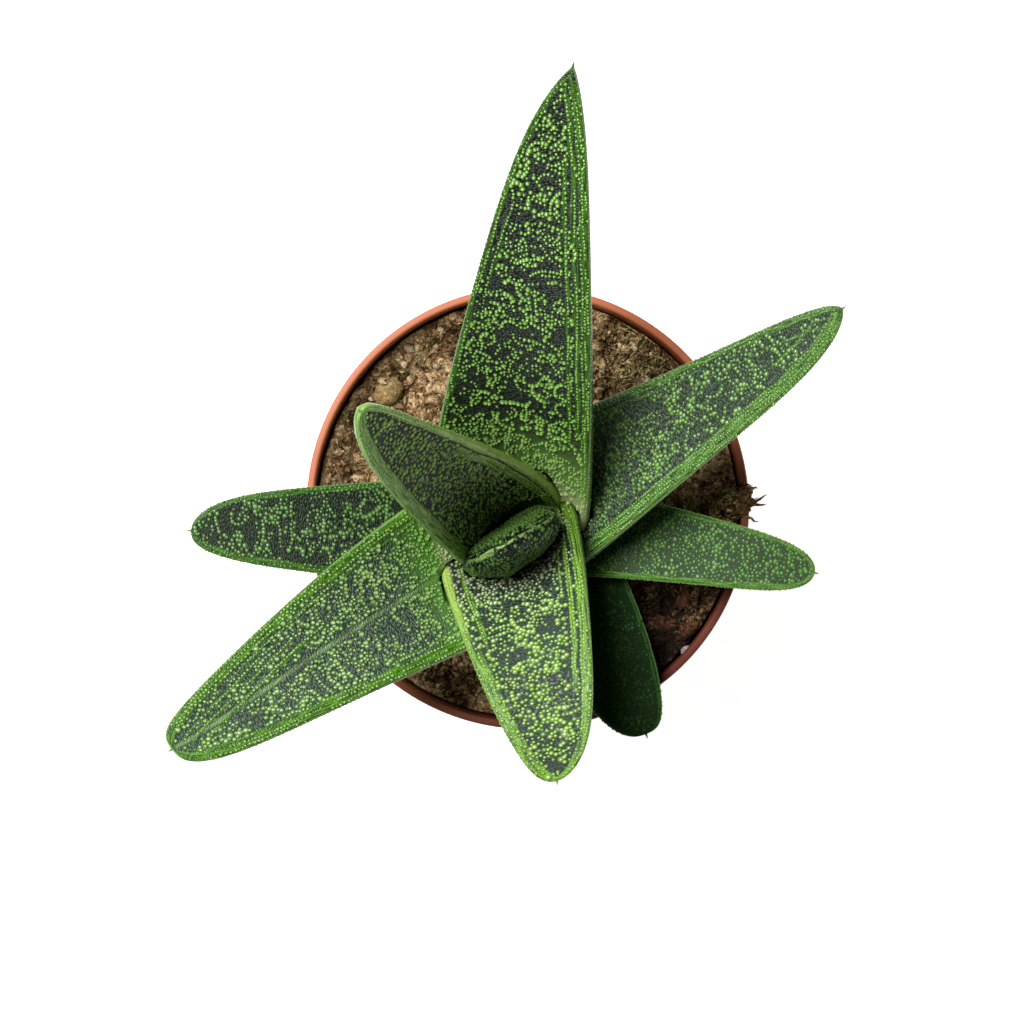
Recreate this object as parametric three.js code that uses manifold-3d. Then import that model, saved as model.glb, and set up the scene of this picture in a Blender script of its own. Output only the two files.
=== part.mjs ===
// A young gasteria in a round nursery pot, in millimetres with +Z up.
// The origin is the middle of the flat pad under the pot, on the surface the pot stands on.
// Nine thick, warty leaves spiral round a short stem that stands in a hole in the potting soil.

import * as THREE from 'three';
import { mergeVertices } from 'three/addons/utils/BufferGeometryUtils.js';
import Module from 'manifold-3d';

const wasm = await Module();
wasm.setup();

// ---- Driving dimensions ---------------------------------------------------------------------

const FIT_GAP = 0.3; // clearance between pieces that touch
const SLIVER = 0.06; // thinner triangles that a cut leaves are merged away

const POT = {
  height: 70,
  rimRadius: 42.5, // outside of the rim, an 85 mm pot
  rimWidth: 2.1, // flat band seen from above
  collarHeight: 12.5, // stepped band below the rim
  collarStep: 3, // how far the collar stands out from the wall
  collarDraft: 0.9, // the collar narrows by this much towards its lower edge
  baseRadius: 30,
  wall: 1.2,
  floor: 2.4, // thickness of the bottom
  padRadius: 9, // flat pad in the middle of the bottom
  footWidth: 3.4, // ring that the pot stands on
  footHeight: 1.2, // recess between the pad and the ring
  rounding: 0.8, // of the foot and of the rim
  sides: 54,
};

const DRAIN = { count: 6, radius: 3, circle: 17, sides: 16 };

const SOIL = {
  level: 60.8, // at the stem and on the left
  bankRise: 5.2, // the soil is heaped up towards one side of the rim
  bankHeading: -28, // direction of that side, in degrees from +X towards +Y
  bank: [10, 38], // where it starts to rise towards that side, and where it is full
  clods: 46,
  clodHeight: [0.5, 1.6],
  hollowShare: 0.3, // this share of them are hollows instead
  hollowDepth: 0.6, // of a clod's height
  roughest: 2.2, // highest that clods and chips add up to
  smooth: [12, 20], // it is level this near to the stem, and rough from the second distance
  clodRadius: [2.2, 4.6],
  sides: 54,
  rings: 10,
};

// Pieces of bark and perlite that lie on the soil, raised from its surface with sloping sides.
const CHIP_SLOPE = [0.7, 1.5]; // from the edge of its flat top to its foot, in half widths
const CHIPS = [
  { x: -27.4, y: 23.0, length: 6.8, width: 6.2, turn: 20, height: 1.9 },
  { x: 26.9, y: -22.5, length: 7.4, width: 3.4, turn: -12, height: 2.0 },
  { x: 30.6, y: -27.7, length: 2.6, width: 2.4, turn: 0, height: 1.6 },
  { x: -24.4, y: 31.2, length: 2.8, width: 2.2, turn: 35, height: 1.3 },
];

const STEM = {
  centre: [-2, -2.5], // the plant stands a little off the middle of the pot
  sides: 20,
  rounding: 0.9, // of its buried end and its growing tip
};

// Heights, with the stem's radius, from its buried end to its growing tip.
const STEM_PROFILE = [
  [46, 3.0],
  [47.5, 4.6],
  [53, 6.0],
  [63, 6.4],
  [68, 6.0],
  [72, 5.0],
  [75.5, 3.8],
  [78, 2.6],
  [79, 1.4],
];

// The leaves, youngest first. Lengths are in millimetres and angles in degrees.
//   heading, sweep  direction in which the leaf leaves the stem, from +X towards +Y, and how
//                   far that direction has turned by the tip
//   start           distance of the base from the stem's axis, to the right of the heading,
//                   and height of the base
//   rise, arch      steepness at the base and at the tip, and how soon it passes from one to
//                   the other
//   width           across the flat blade at the base, the middle and the shoulder
//   tip             how late and how bluntly the blade closes at its tip
//   twist           roll of the blade at the base and at the tip, right side up
//   cup             angle of the arc that the blade is curled to, at the base and at the tip
//   hook            how far the tip is drawn to the right
const LEAVES = [
  { heading: -62, sweep: 0, length: 29, start: [3, 3, 77.5], rise: [82, 99], arch: 1.0,
    width: [17, 20, 15], thick: 5.6, tip: [3.2, 0.5], twist: [0, 0], cup: [100, 40], hook: 1.0 },
  { heading: 150.5, sweep: -5.5, length: 74.5, start: [2.5, -0.5, 75.5], rise: [79, 55], arch: 1.3,
    width: [26, 21.8, 18.8], thick: 5.0, tip: [2.1, 0.39], twist: [20, -6], cup: [140, 45], hook: 2 },
  { heading: -81.5, sweep: 7.5, length: 57, start: [3.8, 1.5, 73.5], rise: [74, -1], arch: 1.2,
    width: [32, 25.2, 16.8], thick: 5.0, tip: [10.5, 0.47], twist: [-12, -7], cup: [140, 26], hook: 1.8 },
  { heading: 84, sweep: -2, length: 111.5, start: [4.5, -1.8, 71.5], rise: [72, 30], arch: 1.4,
    width: [35, 25.5, 13.3], thick: 5.4, tip: [15, 0.8], twist: [-1.5, 10], cup: [130, 26], hook: 1.5 },
  { heading: 207.5, sweep: 10.5, length: 85.5, start: [5, -2.2, 69.5], rise: [60, 18], arch: 1.6,
    width: [35, 26, 15.4], thick: 5.2, tip: [17, 0.3], twist: [5, 3], cup: [120, 24], hook: 1.5 },
  { heading: 31.5, sweep: 1, length: 84.5, start: [5, 0, 68], rise: [62, 25], arch: 1.6,
    width: [33.5, 20.6, 12.4], thick: 4.8, tip: [10, 0.58], twist: [3, 1], cup: [120, 20], hook: -1.5 },
  { heading: 182, sweep: -5, length: 61.5, start: [6, -1.2, 66], rise: [48, 10], arch: 1.6,
    width: [22.5, 18.3, 13.6], thick: 4.2, tip: [9.6, 0.44], twist: [0, 0], cup: [105, 14], hook: -1 },
  { heading: -8, sweep: -4, length: 56.3, start: [6, 0, 65], rise: [48, 8], arch: 1.6,
    width: [21, 14.9, 11.3], thick: 4.0, tip: [10, 0.46], twist: [-2.5, 0], cup: [105, 14], hook: 0 },
  { heading: -60, sweep: -9, length: 44.2, start: [6, -3.3, 64.2], rise: [42, 4], arch: 1.8,
    width: [20.5, 18.8, 14.5], thick: 4.0, tip: [8.4, 0.36], twist: [0, 0], cup: [105, 14], hook: -1 },
];

// Proportions that all the leaves share.
const BLADE = {
  middle: 0.45, // where along the leaf the second width is measured
  shoulder: 0.85, // where along the leaf the third width is measured
  cupFade: 3, // how soon the curl at the base opens out
  hookFrom: 10, // the tip is drawn aside over its last part only
  crown: 0.2, // share of the thickness that lies above the margins
  fullness: 0.8, // below 1, the section is boxier than an ellipse
  thinTip: 0.35, // share of the thickness lost on the way to the tip
  keelPlace: 0.28, // where the keel runs under the leaf, from the midline to the margin
  keelWidth: 0.22,
  keelFrom: [0.2, 0.6], // it rises along this part of the length
  keelDepth: 0.22, // share that it adds to the thickness
  tipFullness: 0.35, // nearer 0, the blade stays thick to the very tip
  mucro: 1, // the small point at the tip
  tipRows: [0.3, 0.07], // two further rows round off the tip, this share of a row before it
  spineSteps: 60,
};

// The warts, and how closely they stand.
const WARTS = {
  across: 2.7, // spacing round the blade
  along: 2.8, // spacing along the blade
  height: 0.6,
  marginHeight: 0.3, // those that tooth the margin
  share: 0.86, // share of the places that hold one
  from: 0.1, // the sheath below this part of the length is smooth
  to: 0.97,
  room: 0.4, // the older leaf that is wrapped round them stands off this much further
};

// ---- Small helpers --------------------------------------------------------------------------

const { lerp, degToRad, smoothstep } = THREE.MathUtils;

// A stream of numbers from 0 to 1 that is the same on every run.
function seeded(seed) {
  let state = seed;
  return function next() {
    state = (state + 0x6d2b79f5) | 0;
    let mixed = Math.imul(state ^ (state >>> 15), 1 | state);
    mixed = (mixed + Math.imul(mixed ^ (mixed >>> 7), 61 | mixed)) ^ mixed;
    return ((mixed ^ (mixed >>> 14)) >>> 0) / 4294967296;
  };
}

// A closed skin over a row of rings with equal numbers of points, ended by one point each side.
// Seen from the last ring the points of a ring run anticlockwise.
function skinOverRings(rings, firstPoint, lastPoint) {
  const sides = rings[0].length;
  const positions = [];
  for (const point of [firstPoint, ...rings.flat(), lastPoint]) {
    positions.push(...point);
  }
  const first = 0;
  const last = positions.length / 3 - 1;
  const at = (ring, side) => 1 + ring * sides + (side % sides);
  const indices = [];
  for (let side = 0; side < sides; side++) {
    indices.push(first, at(0, side + 1), at(0, side));
    indices.push(last, at(rings.length - 1, side), at(rings.length - 1, side + 1));
  }
  for (let ring = 0; ring + 1 < rings.length; ring++) {
    for (let side = 0; side < sides; side++) {
      indices.push(at(ring, side), at(ring, side + 1), at(ring + 1, side + 1));
      indices.push(at(ring, side), at(ring + 1, side + 1), at(ring + 1, side));
    }
  }
  const geometry = new THREE.BufferGeometry();
  geometry.setAttribute('position', new THREE.Float32BufferAttribute(positions, 3));
  geometry.setIndex(indices);
  return geometry;
}

function solidFrom(geometry) {
  const bare = geometry.clone();
  bare.deleteAttribute('normal');
  bare.deleteAttribute('uv');
  const merged = mergeVertices(bare, 1e-4);
  return new wasm.Manifold(new wasm.Mesh({
    numProp: 3,
    vertProperties: new Float32Array(merged.attributes.position.array),
    triVerts: new Uint32Array(merged.index.array),
  }));
}

function geometryFrom(solid) {
  const mesh = solid.getMesh();
  const geometry = new THREE.BufferGeometry();
  geometry.setAttribute('position', new THREE.BufferAttribute(mesh.vertProperties, 3));
  geometry.setIndex(new THREE.BufferAttribute(mesh.triVerts, 1));
  return geometry;
}

// Merges away the thin triangles along a cut.
function tidied(solid) {
  return solid.asOriginal().simplify(SLIVER);
}

// A cut can leave loose scraps: the largest body is the piece.
function largestBody(solid) {
  const bodies = solid.decompose();
  bodies.sort((a, b) => b.volume() - a.volume());
  return bodies[0];
}

// ---- Pot: thin moulded plastic with a stepped collar, a foot ring and drain holes ---------------

const COLLAR_BOTTOM = POT.height - POT.collarHeight;
const STEP_TOP = COLLAR_BOTTOM + 1.3 * POT.wall; // inside, where the wall meets the collar
const WALL_TOP_RADIUS = POT.rimRadius - POT.collarDraft - POT.collarStep;
const MOUTH_RADIUS = POT.rimRadius - POT.rimWidth;

// Inside radius of the pot at a height, which the soil follows.
function potInside(z) {
  if (z >= STEP_TOP) {
    return MOUTH_RADIUS;
  }
  const along = Math.min((z - POT.floor) / (COLLAR_BOTTOM - POT.floor), 1);
  return lerp(POT.baseRadius, WALL_TOP_RADIUS, along) - POT.wall;
}

function makePot() {
  const rim = POT.rimRadius;
  const round = POT.rounding;
  const foot = POT.baseRadius - round;
  const profile = [
    [0, 0],
    [POT.padRadius, 0],
    [POT.padRadius + POT.footHeight, POT.footHeight],
    [foot - POT.footWidth - POT.footHeight, POT.footHeight],
    [foot - POT.footWidth, 0],
    [foot, 0],
    [POT.baseRadius, round],
    [WALL_TOP_RADIUS, COLLAR_BOTTOM],
    [rim - POT.collarDraft, COLLAR_BOTTOM],
    [rim - 0.7 * POT.collarDraft, COLLAR_BOTTOM + round],
    [rim, POT.height - round],
    [rim - 0.3 * round, POT.height - 0.3 * round],
    [rim - round, POT.height],
    [MOUTH_RADIUS + round, POT.height],
    [MOUTH_RADIUS + 0.3 * round, POT.height - 0.3 * round],
    [MOUTH_RADIUS, POT.height - round],
    [MOUTH_RADIUS, STEP_TOP],
    [potInside(COLLAR_BOTTOM), COLLAR_BOTTOM],
    [potInside(POT.floor + round), POT.floor + round],
    [potInside(POT.floor) - round, POT.floor],
    [0, POT.floor],
  ];
  const points = profile.map(([radius, z]) => new THREE.Vector2(radius, z));
  const shell = new THREE.LatheGeometry(points, POT.sides);
  shell.rotateX(Math.PI / 2); // a lathe turns about +Y: this stands it up along +Z
  let pot = solidFrom(shell);
  for (let i = 0; i < DRAIN.count; i++) {
    const drill = new THREE.CylinderGeometry(DRAIN.radius, DRAIN.radius, 3 * POT.floor, DRAIN.sides);
    drill.rotateX(Math.PI / 2);
    const angle = (i / DRAIN.count) * 2 * Math.PI;
    drill.translate(DRAIN.circle * Math.cos(angle), DRAIN.circle * Math.sin(angle), 0);
    pot = pot.subtract(solidFrom(drill));
  }
  return geometryFrom(pot);
}

// ---- Stem: a short thick caudex, mostly hidden by the leaf bases --------------------------------

const STEM_BOTTOM = STEM_PROFILE[0][0] - STEM.rounding;
const STEM_RADIUS = Math.max(...STEM_PROFILE.map(([, radius]) => radius));

function makeStem(grow) {
  const [cx, cy] = STEM.centre;
  const rings = STEM_PROFILE.map(([z, radius]) => {
    const ring = [];
    for (let side = 0; side < STEM.sides; side++) {
      const angle = (side / STEM.sides) * 2 * Math.PI;
      const reach = radius + grow;
      ring.push([cx + reach * Math.cos(angle), cy + reach * Math.sin(angle), z]);
    }
    return ring;
  });
  const bottom = [cx, cy, STEM_BOTTOM - grow];
  const top = [cx, cy, STEM_PROFILE.at(-1)[0] + STEM.rounding + grow];
  return skinOverRings(rings, bottom, top);
}

// ---- Soil: a body of peat that fills the pot, with a plain hole for the stem --------------------

// Seeded clods, spread evenly over the disc.
const nextClod = seeded(11);
const CLODS = Array.from({ length: SOIL.clods }, () => {
  const reach = MOUTH_RADIUS * Math.sqrt(nextClod());
  const angle = 2 * Math.PI * nextClod();
  const radius = lerp(...SOIL.clodRadius, nextClod());
  const height = lerp(...SOIL.clodHeight, nextClod());
  const hollow = nextClod() < SOIL.hollowShare;
  return {
    x: reach * Math.cos(angle),
    y: reach * Math.sin(angle),
    radius,
    height: hollow ? -SOIL.hollowDepth * height : height,
  };
});

function chipRise(chip, x, y) {
  const turn = degToRad(chip.turn);
  const along = (x - chip.x) * Math.cos(turn) + (y - chip.y) * Math.sin(turn);
  const across = (y - chip.y) * Math.cos(turn) - (x - chip.x) * Math.sin(turn);
  const spread = Math.hypot(along / (chip.length / 2), across / (chip.width / 2));
  return chip.height * (1 - smoothstep(spread, ...CHIP_SLOPE));
}

function soilHeight(x, y) {
  const [cx, cy] = STEM.centre;
  const bank = degToRad(SOIL.bankHeading);
  const towardsBank = x * Math.cos(bank) + y * Math.sin(bank);
  const fromStem = Math.hypot(x - cx, y - cy);
  const ground = SOIL.level + SOIL.bankRise * smoothstep(towardsBank, ...SOIL.bank);
  let rough = 0;
  for (const clod of CLODS) {
    const distance = Math.hypot(x - clod.x, y - clod.y) / clod.radius;
    rough += clod.height * Math.exp(-distance * distance);
  }
  for (const chip of CHIPS) {
    rough += chipRise(chip, x, y);
  }
  return ground + Math.min(rough, SOIL.roughest) * smoothstep(fromStem, ...SOIL.smooth);
}

function makeSoil() {
  const holeRadius = STEM_RADIUS + FIT_GAP;
  const holeBottom = STEM_BOTTOM - FIT_GAP;
  const topRadius = MOUTH_RADIUS - FIT_GAP;
  const floor = POT.floor + FIT_GAP;
  // A ring of points whose middle lies between the pot's axis (0) and the stem's axis (1).
  const ringAt = (radius, stemShare, heightOf) => {
    const ring = [];
    for (let side = 0; side < SOIL.sides; side++) {
      const angle = (side / SOIL.sides) * 2 * Math.PI;
      const x = STEM.centre[0] * stemShare + radius * Math.cos(angle);
      const y = STEM.centre[1] * stemShare + radius * Math.sin(angle);
      ring.push([x, y, heightOf(x, y)]);
    }
    return ring;
  };
  const rings = [
    ringAt(potInside(floor) - POT.rounding - FIT_GAP, 0, () => floor),
    ringAt(potInside(floor) - FIT_GAP, 0, () => floor + POT.rounding),
    ringAt(potInside(COLLAR_BOTTOM) - FIT_GAP, 0, () => COLLAR_BOTTOM + FIT_GAP),
    ringAt(topRadius, 0, () => STEP_TOP + 2 * FIT_GAP),
  ];
  for (let i = 0; i <= SOIL.rings; i++) {
    const inward = i / SOIL.rings;
    rings.push(ringAt(lerp(topRadius, holeRadius, inward), inward, soilHeight));
  }
  rings.push(ringAt(holeRadius, 1, () => holeBottom));
  return skinOverRings(rings, [0, 0, floor], [...STEM.centre, holeBottom]);
}

// ---- Leaves: thick blades, curled round the stem at the base and studded with pale warts --------

// Width of the flat blade, a curve through the three given widths, closed off at the tip.
function leafWidth(leaf, t) {
  const places = [0, BLADE.middle, BLADE.shoulder];
  let width = 0;
  for (let i = 0; i < 3; i++) {
    let share = leaf.width[i];
    for (let j = 0; j < 3; j++) {
      if (j !== i) {
        share *= (t - places[j]) / (places[i] - places[j]);
      }
    }
    width += share;
  }
  const [late, blunt] = leaf.tip;
  return width * Math.pow(Math.max(1 - Math.pow(t, late), 0), blunt);
}

// Points along the leaf's midline, each with its own forward, right and upward directions.
function leafSpine(leaf) {
  const [out, right, height] = leaf.start;
  const heading = degToRad(leaf.heading);
  const place = new THREE.Vector3(STEM.centre[0], STEM.centre[1], height);
  place.x += out * Math.cos(heading) + right * Math.sin(heading);
  place.y += out * Math.sin(heading) - right * Math.cos(heading);
  const spine = [];
  let before;
  for (let i = 0; i <= BLADE.spineSteps; i++) {
    const t = i / BLADE.spineSteps;
    const pitch = degToRad(lerp(leaf.rise[1], leaf.rise[0], Math.pow(1 - t, leaf.arch)));
    const yaw = degToRad(leaf.heading + leaf.sweep * t);
    const roll = degToRad(lerp(leaf.twist[1], leaf.twist[0], (1 - t) * (1 - t)));
    const forward = new THREE.Vector3(
      Math.cos(pitch) * Math.cos(yaw), Math.cos(pitch) * Math.sin(yaw), Math.sin(pitch));
    if (before) {
      const middle = before.clone().add(forward).multiplyScalar(0.5);
      place.addScaledVector(middle, leaf.length / BLADE.spineSteps);
    }
    before = forward;
    const side = new THREE.Vector3(Math.sin(yaw), -Math.cos(yaw), 0);
    const hooked = place.clone().addScaledVector(side, leaf.hook * Math.pow(t, BLADE.hookFrom));
    const across = side.clone().applyAxisAngle(forward, -roll);
    const up = new THREE.Vector3().crossVectors(across, forward);
    spine.push({ place: hooked, forward, across, up });
  }
  return spine;
}

// The spine at any part t of the length.
function spineAt(spine, t) {
  const exact = t * BLADE.spineSteps;
  const low = Math.min(Math.floor(exact), BLADE.spineSteps - 1);
  const mix = exact - low;
  const blend = (key) => spine[low][key].clone().lerp(spine[low + 1][key], mix);
  return {
    place: blend('place'),
    forward: blend('forward').normalize(),
    across: blend('across').normalize(),
    up: blend('up').normalize(),
  };
}

// A leaf as a closed skin. With grow it is smooth, coarser, and every face stands that much
// further out: the room that an older leaf leaves for it.
function makeLeaf(leaf, index, grow) {
  const spine = leafSpine(leaf);
  const widest = Math.max(...leaf.width);
  const rowSpacing = grow > 0 ? 2 * WARTS.along : WARTS.along;
  const sides = 2 * Math.round(widest / WARTS.across);
  const rows = Math.round(leaf.length / rowSpacing);
  const places = Array.from({ length: rows }, (_, row) => row / rows);
  places.push(...BLADE.tipRows.map((share) => 1 - share / rows));
  const next = seeded(100 + index);
  const rings = places.map((t, row) => {
    const { place, across, up } = spineAt(spine, t);
    const half = leafWidth(leaf, t) / 2;
    const curl = degToRad(lerp(leaf.cup[1], leaf.cup[0], Math.pow(1 - t, BLADE.cupFade)));
    const radius = (2 * half) / curl;
    const closing = Math.pow(half / (widest / 2), BLADE.tipFullness);
    const thick = leaf.thick * (1 - BLADE.thinTip * t) * Math.min(closing, 1);
    const ring = [];
    for (let side = 0; side < sides; side++) {
      const angle = (side / sides) * 2 * Math.PI;
      const along = Math.cos(angle);
      const through = Math.sin(angle);
      const u = Math.sign(along) * Math.pow(Math.abs(along), BLADE.fullness);
      const body = Math.sign(through) * Math.pow(Math.abs(through), BLADE.fullness);
      const keel = Math.exp(-Math.pow((u - BLADE.keelPlace) / BLADE.keelWidth, 2));
      const keeled = 1 + BLADE.keelDepth * keel * smoothstep(t, ...BLADE.keelFrom);
      const depth = thick * (1 - BLADE.crown) * keeled;
      const held = (row + side) % 2 === 0 && next() < WARTS.share;
      const warty = held && grow === 0 && t > WARTS.from && t < WARTS.to;
      const wart = warty ? WARTS.height : 0;
      const upper = body > 0 ? thick * BLADE.crown : depth;
      const reach = body * upper + through * (grow + wart);
      const tooth = warty ? WARTS.marginHeight * Math.abs(along) : 0;
      const turn = (u * (half + grow + tooth)) / radius;
      const point = place.clone();
      point.addScaledVector(across, (radius - reach) * Math.sin(turn));
      point.addScaledVector(up, radius - (radius - reach) * Math.cos(turn));
      ring.push(point.toArray());
    }
    return ring.reverse();
  });
  const foot = spineAt(spine, 0);
  const end = spineAt(spine, 1);
  const heel = foot.place.clone().addScaledVector(foot.forward, -grow).toArray();
  const point = end.place.clone().addScaledVector(end.forward, BLADE.mucro + grow).toArray();
  return skinOverRings(rings, heel, point);
}

// ---- Assembly -------------------------------------------------------------------------------

const plasticTerracotta = new THREE.MeshStandardMaterial({ color: 0xc4663f, roughness: 0.5 });
const peat = new THREE.MeshStandardMaterial({ color: 0x4b3728, roughness: 0.95 });
const paleTissue = new THREE.MeshStandardMaterial({ color: 0xc3cb8f, roughness: 0.5 });
const leafSkin = new THREE.MeshStandardMaterial({ color: 0x35573a, roughness: 0.42 });

const gasteria = new THREE.Group();

function addPiece(name, geometry, material) {
  const mesh = new THREE.Mesh(geometry, material);
  mesh.name = name;
  gasteria.add(mesh);
}

addPiece('pot', makePot(), plasticTerracotta);
addPiece('soil', makeSoil(), peat);
addPiece('stem', makeStem(0), paleTissue);

// Where sheaths overlap, the older leaf is hollowed to wrap round the younger one.
let taken = solidFrom(makeStem(FIT_GAP));
LEAVES.forEach((leaf, index) => {
  const cut = solidFrom(makeLeaf(leaf, index, 0)).subtract(taken);
  addPiece(`leaf_${index + 1}`, geometryFrom(tidied(largestBody(cut))), leafSkin);
  const room = solidFrom(makeLeaf(leaf, index, WARTS.height + WARTS.room));
  taken = tidied(taken.add(room));
});

export default gasteria;
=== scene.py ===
"""A young gasteria in its nursery pot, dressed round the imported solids.

The sections follow the plant as it is put together: the pot, the soil that fills it, what lies on
the soil, the stem, and the nine leaves from the youngest to the oldest. Sizes are in millimetres
and turn into metres where a mesh is made.
"""

import math
from functools import partial

import bpy
import numpy as np
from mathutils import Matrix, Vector
from mathutils.bvhtree import BVHTree
from mathutils.kdtree import KDTree


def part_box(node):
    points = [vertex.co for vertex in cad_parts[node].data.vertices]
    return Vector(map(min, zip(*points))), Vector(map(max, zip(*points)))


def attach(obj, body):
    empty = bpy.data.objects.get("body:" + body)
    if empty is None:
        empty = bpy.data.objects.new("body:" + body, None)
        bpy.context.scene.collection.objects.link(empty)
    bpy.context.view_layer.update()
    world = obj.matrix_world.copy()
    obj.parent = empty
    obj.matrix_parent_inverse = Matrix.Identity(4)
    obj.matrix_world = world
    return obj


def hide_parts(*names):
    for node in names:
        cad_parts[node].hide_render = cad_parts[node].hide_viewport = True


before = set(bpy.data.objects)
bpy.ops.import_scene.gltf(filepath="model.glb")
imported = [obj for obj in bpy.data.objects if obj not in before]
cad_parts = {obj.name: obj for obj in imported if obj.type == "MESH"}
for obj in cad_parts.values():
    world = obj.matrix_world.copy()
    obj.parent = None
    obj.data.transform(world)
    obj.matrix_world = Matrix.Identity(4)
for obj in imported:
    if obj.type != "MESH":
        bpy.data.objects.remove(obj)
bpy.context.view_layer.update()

# ---- Pot ------------------------------------------------------------------------------------
# A thin nursery pot with a stepped collar, a rolled rim, a foot ring and six drain holes.
# It is polypropylene, coloured terracotta all through and injection-moulded in one piece, so its
# skin is satin with the faint orange peel of the mould.

MM = 0.001

POT_SIDES = 180
RIM_RADIUS = 42.5
POT_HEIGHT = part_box("pot")[1].z / MM
RIM_WIDTH = 1.5
RIM_ROUNDING = 0.55
COLLAR_HEIGHT = 12.5
COLLAR_STEP = 3.0
COLLAR_DRAFT = 0.9
BASE_RADIUS = 30.0
WALL = 1.2
FLOOR = 2.4
PAD_RADIUS = 9.0
FOOT_WIDTH = 3.4
FOOT_HEIGHT = 1.2
ROUNDING = 0.8
STEP_FILLET = 0.3  # between the wall and the underside of the collar
STEP_ROUNDING = 0.4  # of the collar's lower edge
RIM_BEAD = (2.6, 2.0)  # how far below the top the rim's bead begins and is full
BEAD_INSET = (0.35, 0.1)  # how far inside the rim's radius the skin is at those two heights
RIM_GROOVE = 0.04
LINER_DRAFT = 0.4  # inside, the collar narrows by this much towards the soil
WALL_STEPS = 12
DRAIN_COUNT = 6
DRAIN_RADIUS = 3.0
DRAIN_CIRCLE = 17.0
DRAIN_SIDES = 32
SHARP_EDGE = math.radians(38)  # the shading breaks at edges that turn by more than this

COLLAR_BOTTOM = POT_HEIGHT - COLLAR_HEIGHT
STEP_TOP = COLLAR_BOTTOM + 1.3 * WALL
WALL_TOP_RADIUS = RIM_RADIUS - COLLAR_DRAFT - COLLAR_STEP
MOUTH_RADIUS = RIM_RADIUS - RIM_WIDTH


def arc(centre_r, centre_z, radius, start, end, steps=6):
    """Points of an arc in the pot's outline, with angles in degrees from outwards to upwards."""
    turns = np.radians(np.linspace(start, end, steps))
    return [(centre_r + radius * math.cos(a), centre_z + radius * math.sin(a)) for a in turns]


def full_turn(sides):
    """Angles spread evenly round a circle."""
    return np.linspace(0, 2 * math.pi, sides, endpoint=False)


def skin_over_rings(rings, first_point, last_point):
    """A closed skin over rings of equal numbers of points: its points, quads and triangles."""
    rings = np.asarray(rings, float)
    count, sides = rings.shape[:2]
    points = np.vstack([[first_point], rings.reshape(-1, 3), [last_point]])
    side = np.arange(sides)
    after = (side + 1) % sides
    low = 1 + np.arange(count - 1)[:, None] * sides
    quads = np.stack([low + side, low + after, low + sides + after, low + sides + side], -1)
    last_ring = 1 + (count - 1) * sides
    caps = np.concatenate([
        np.stack([np.zeros(sides, int), 1 + after, 1 + side], -1),
        np.stack([np.full(sides, len(points) - 1), last_ring + side, last_ring + after], -1),
    ])
    return points, quads.reshape(-1, 4), caps


def turned(outline, sides, centre=(0.0, 0.0)):
    """A lathe-turned skin: the outline's radius and height, first and last point on the axis."""
    turn = full_turn(sides)
    rings = []
    for radius, z in outline[1:-1]:
        x = centre[0] + radius * np.cos(turn)
        y = centre[1] + radius * np.sin(turn)
        rings.append(np.stack([x, y, np.full(sides, z)], -1))
    return skin_over_rings(rings, [*centre, outline[0][1]], [*centre, outline[-1][1]])


def placed(name, data):
    """A new object of the scene that shows this mesh, light or camera."""
    made = bpy.data.objects.new(name, data)
    bpy.context.scene.collection.objects.link(made)
    return made


def new_object(name, points, *groups):
    """A smooth-shaded mesh object from points in millimetres and groups of faces."""
    faces = []
    for group in groups:
        faces.extend(group.tolist() if isinstance(group, np.ndarray) else group)
    mesh = bpy.data.meshes.new(name)
    mesh.from_pydata(np.asarray(points) * MM, [], faces)
    mesh.shade_smooth()
    return placed(name, mesh)


def with_cut(target, cutters):
    """Takes the closed cutters away from the target's mesh."""
    for cutter in cutters:
        cut = target.modifiers.new("cut", "BOOLEAN")
        cut.operation = "DIFFERENCE"
        cut.solver = "MANIFOLD"
        cut.object = cutter
    seen = target.evaluated_get(bpy.context.evaluated_depsgraph_get())
    mesh = bpy.data.meshes.new_from_object(seen)
    target.modifiers.clear()
    target.data = mesh


def settle(piece, material, slot, *nodes):
    """Gives a finished piece its material and its body, and hides the nodes that it stands for. Its slot is
    not used.
    """
    piece.data.materials.clear()
    piece.data.materials.append(material)
    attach(piece, "root")
    if nodes:
        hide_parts(*nodes)


def linear(colour):
    """A linear colour from an sRGB hex value."""
    shares = [int(colour[i:i + 2], 16) / 255 for i in (1, 3, 5)]
    return [s / 12.92 if s <= 0.04045 else ((s + 0.055) / 1.055) ** 2.4 for s in shares] + [1.0]


def add_node(tree, kind, inputs, out=0, **settings):
    """Adds a shader node with its settings. Its inputs are numbers, colours or other sockets."""
    made = tree.nodes.new("ShaderNode" + kind)
    for key, value in settings.items():
        setattr(made, key, value)
    for key, value in inputs.items():
        if isinstance(value, bpy.types.NodeSocket):
            tree.links.new(value, made.inputs[key])
        else:
            made.inputs[key].default_value = value
    return made.outputs[out]


def new_tree(name):
    """An empty node material: the material, its tree and a position in millimetres."""
    material = bpy.data.materials.new(name)
    material.use_nodes = True
    tree = material.node_tree
    tree.nodes.clear()
    place = tree.nodes.new("ShaderNodeTexCoord").outputs["Object"]
    scaled = add_node(tree, "VectorMath", {0: place, "Scale": 1 / MM}, operation="SCALE")
    return material, tree, scaled


def finish_tree(tree, skin):
    """Joins the last shader to the material's output."""
    tree.links.new(skin, tree.nodes.new("ShaderNodeOutputMaterial").inputs["Surface"])


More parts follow.
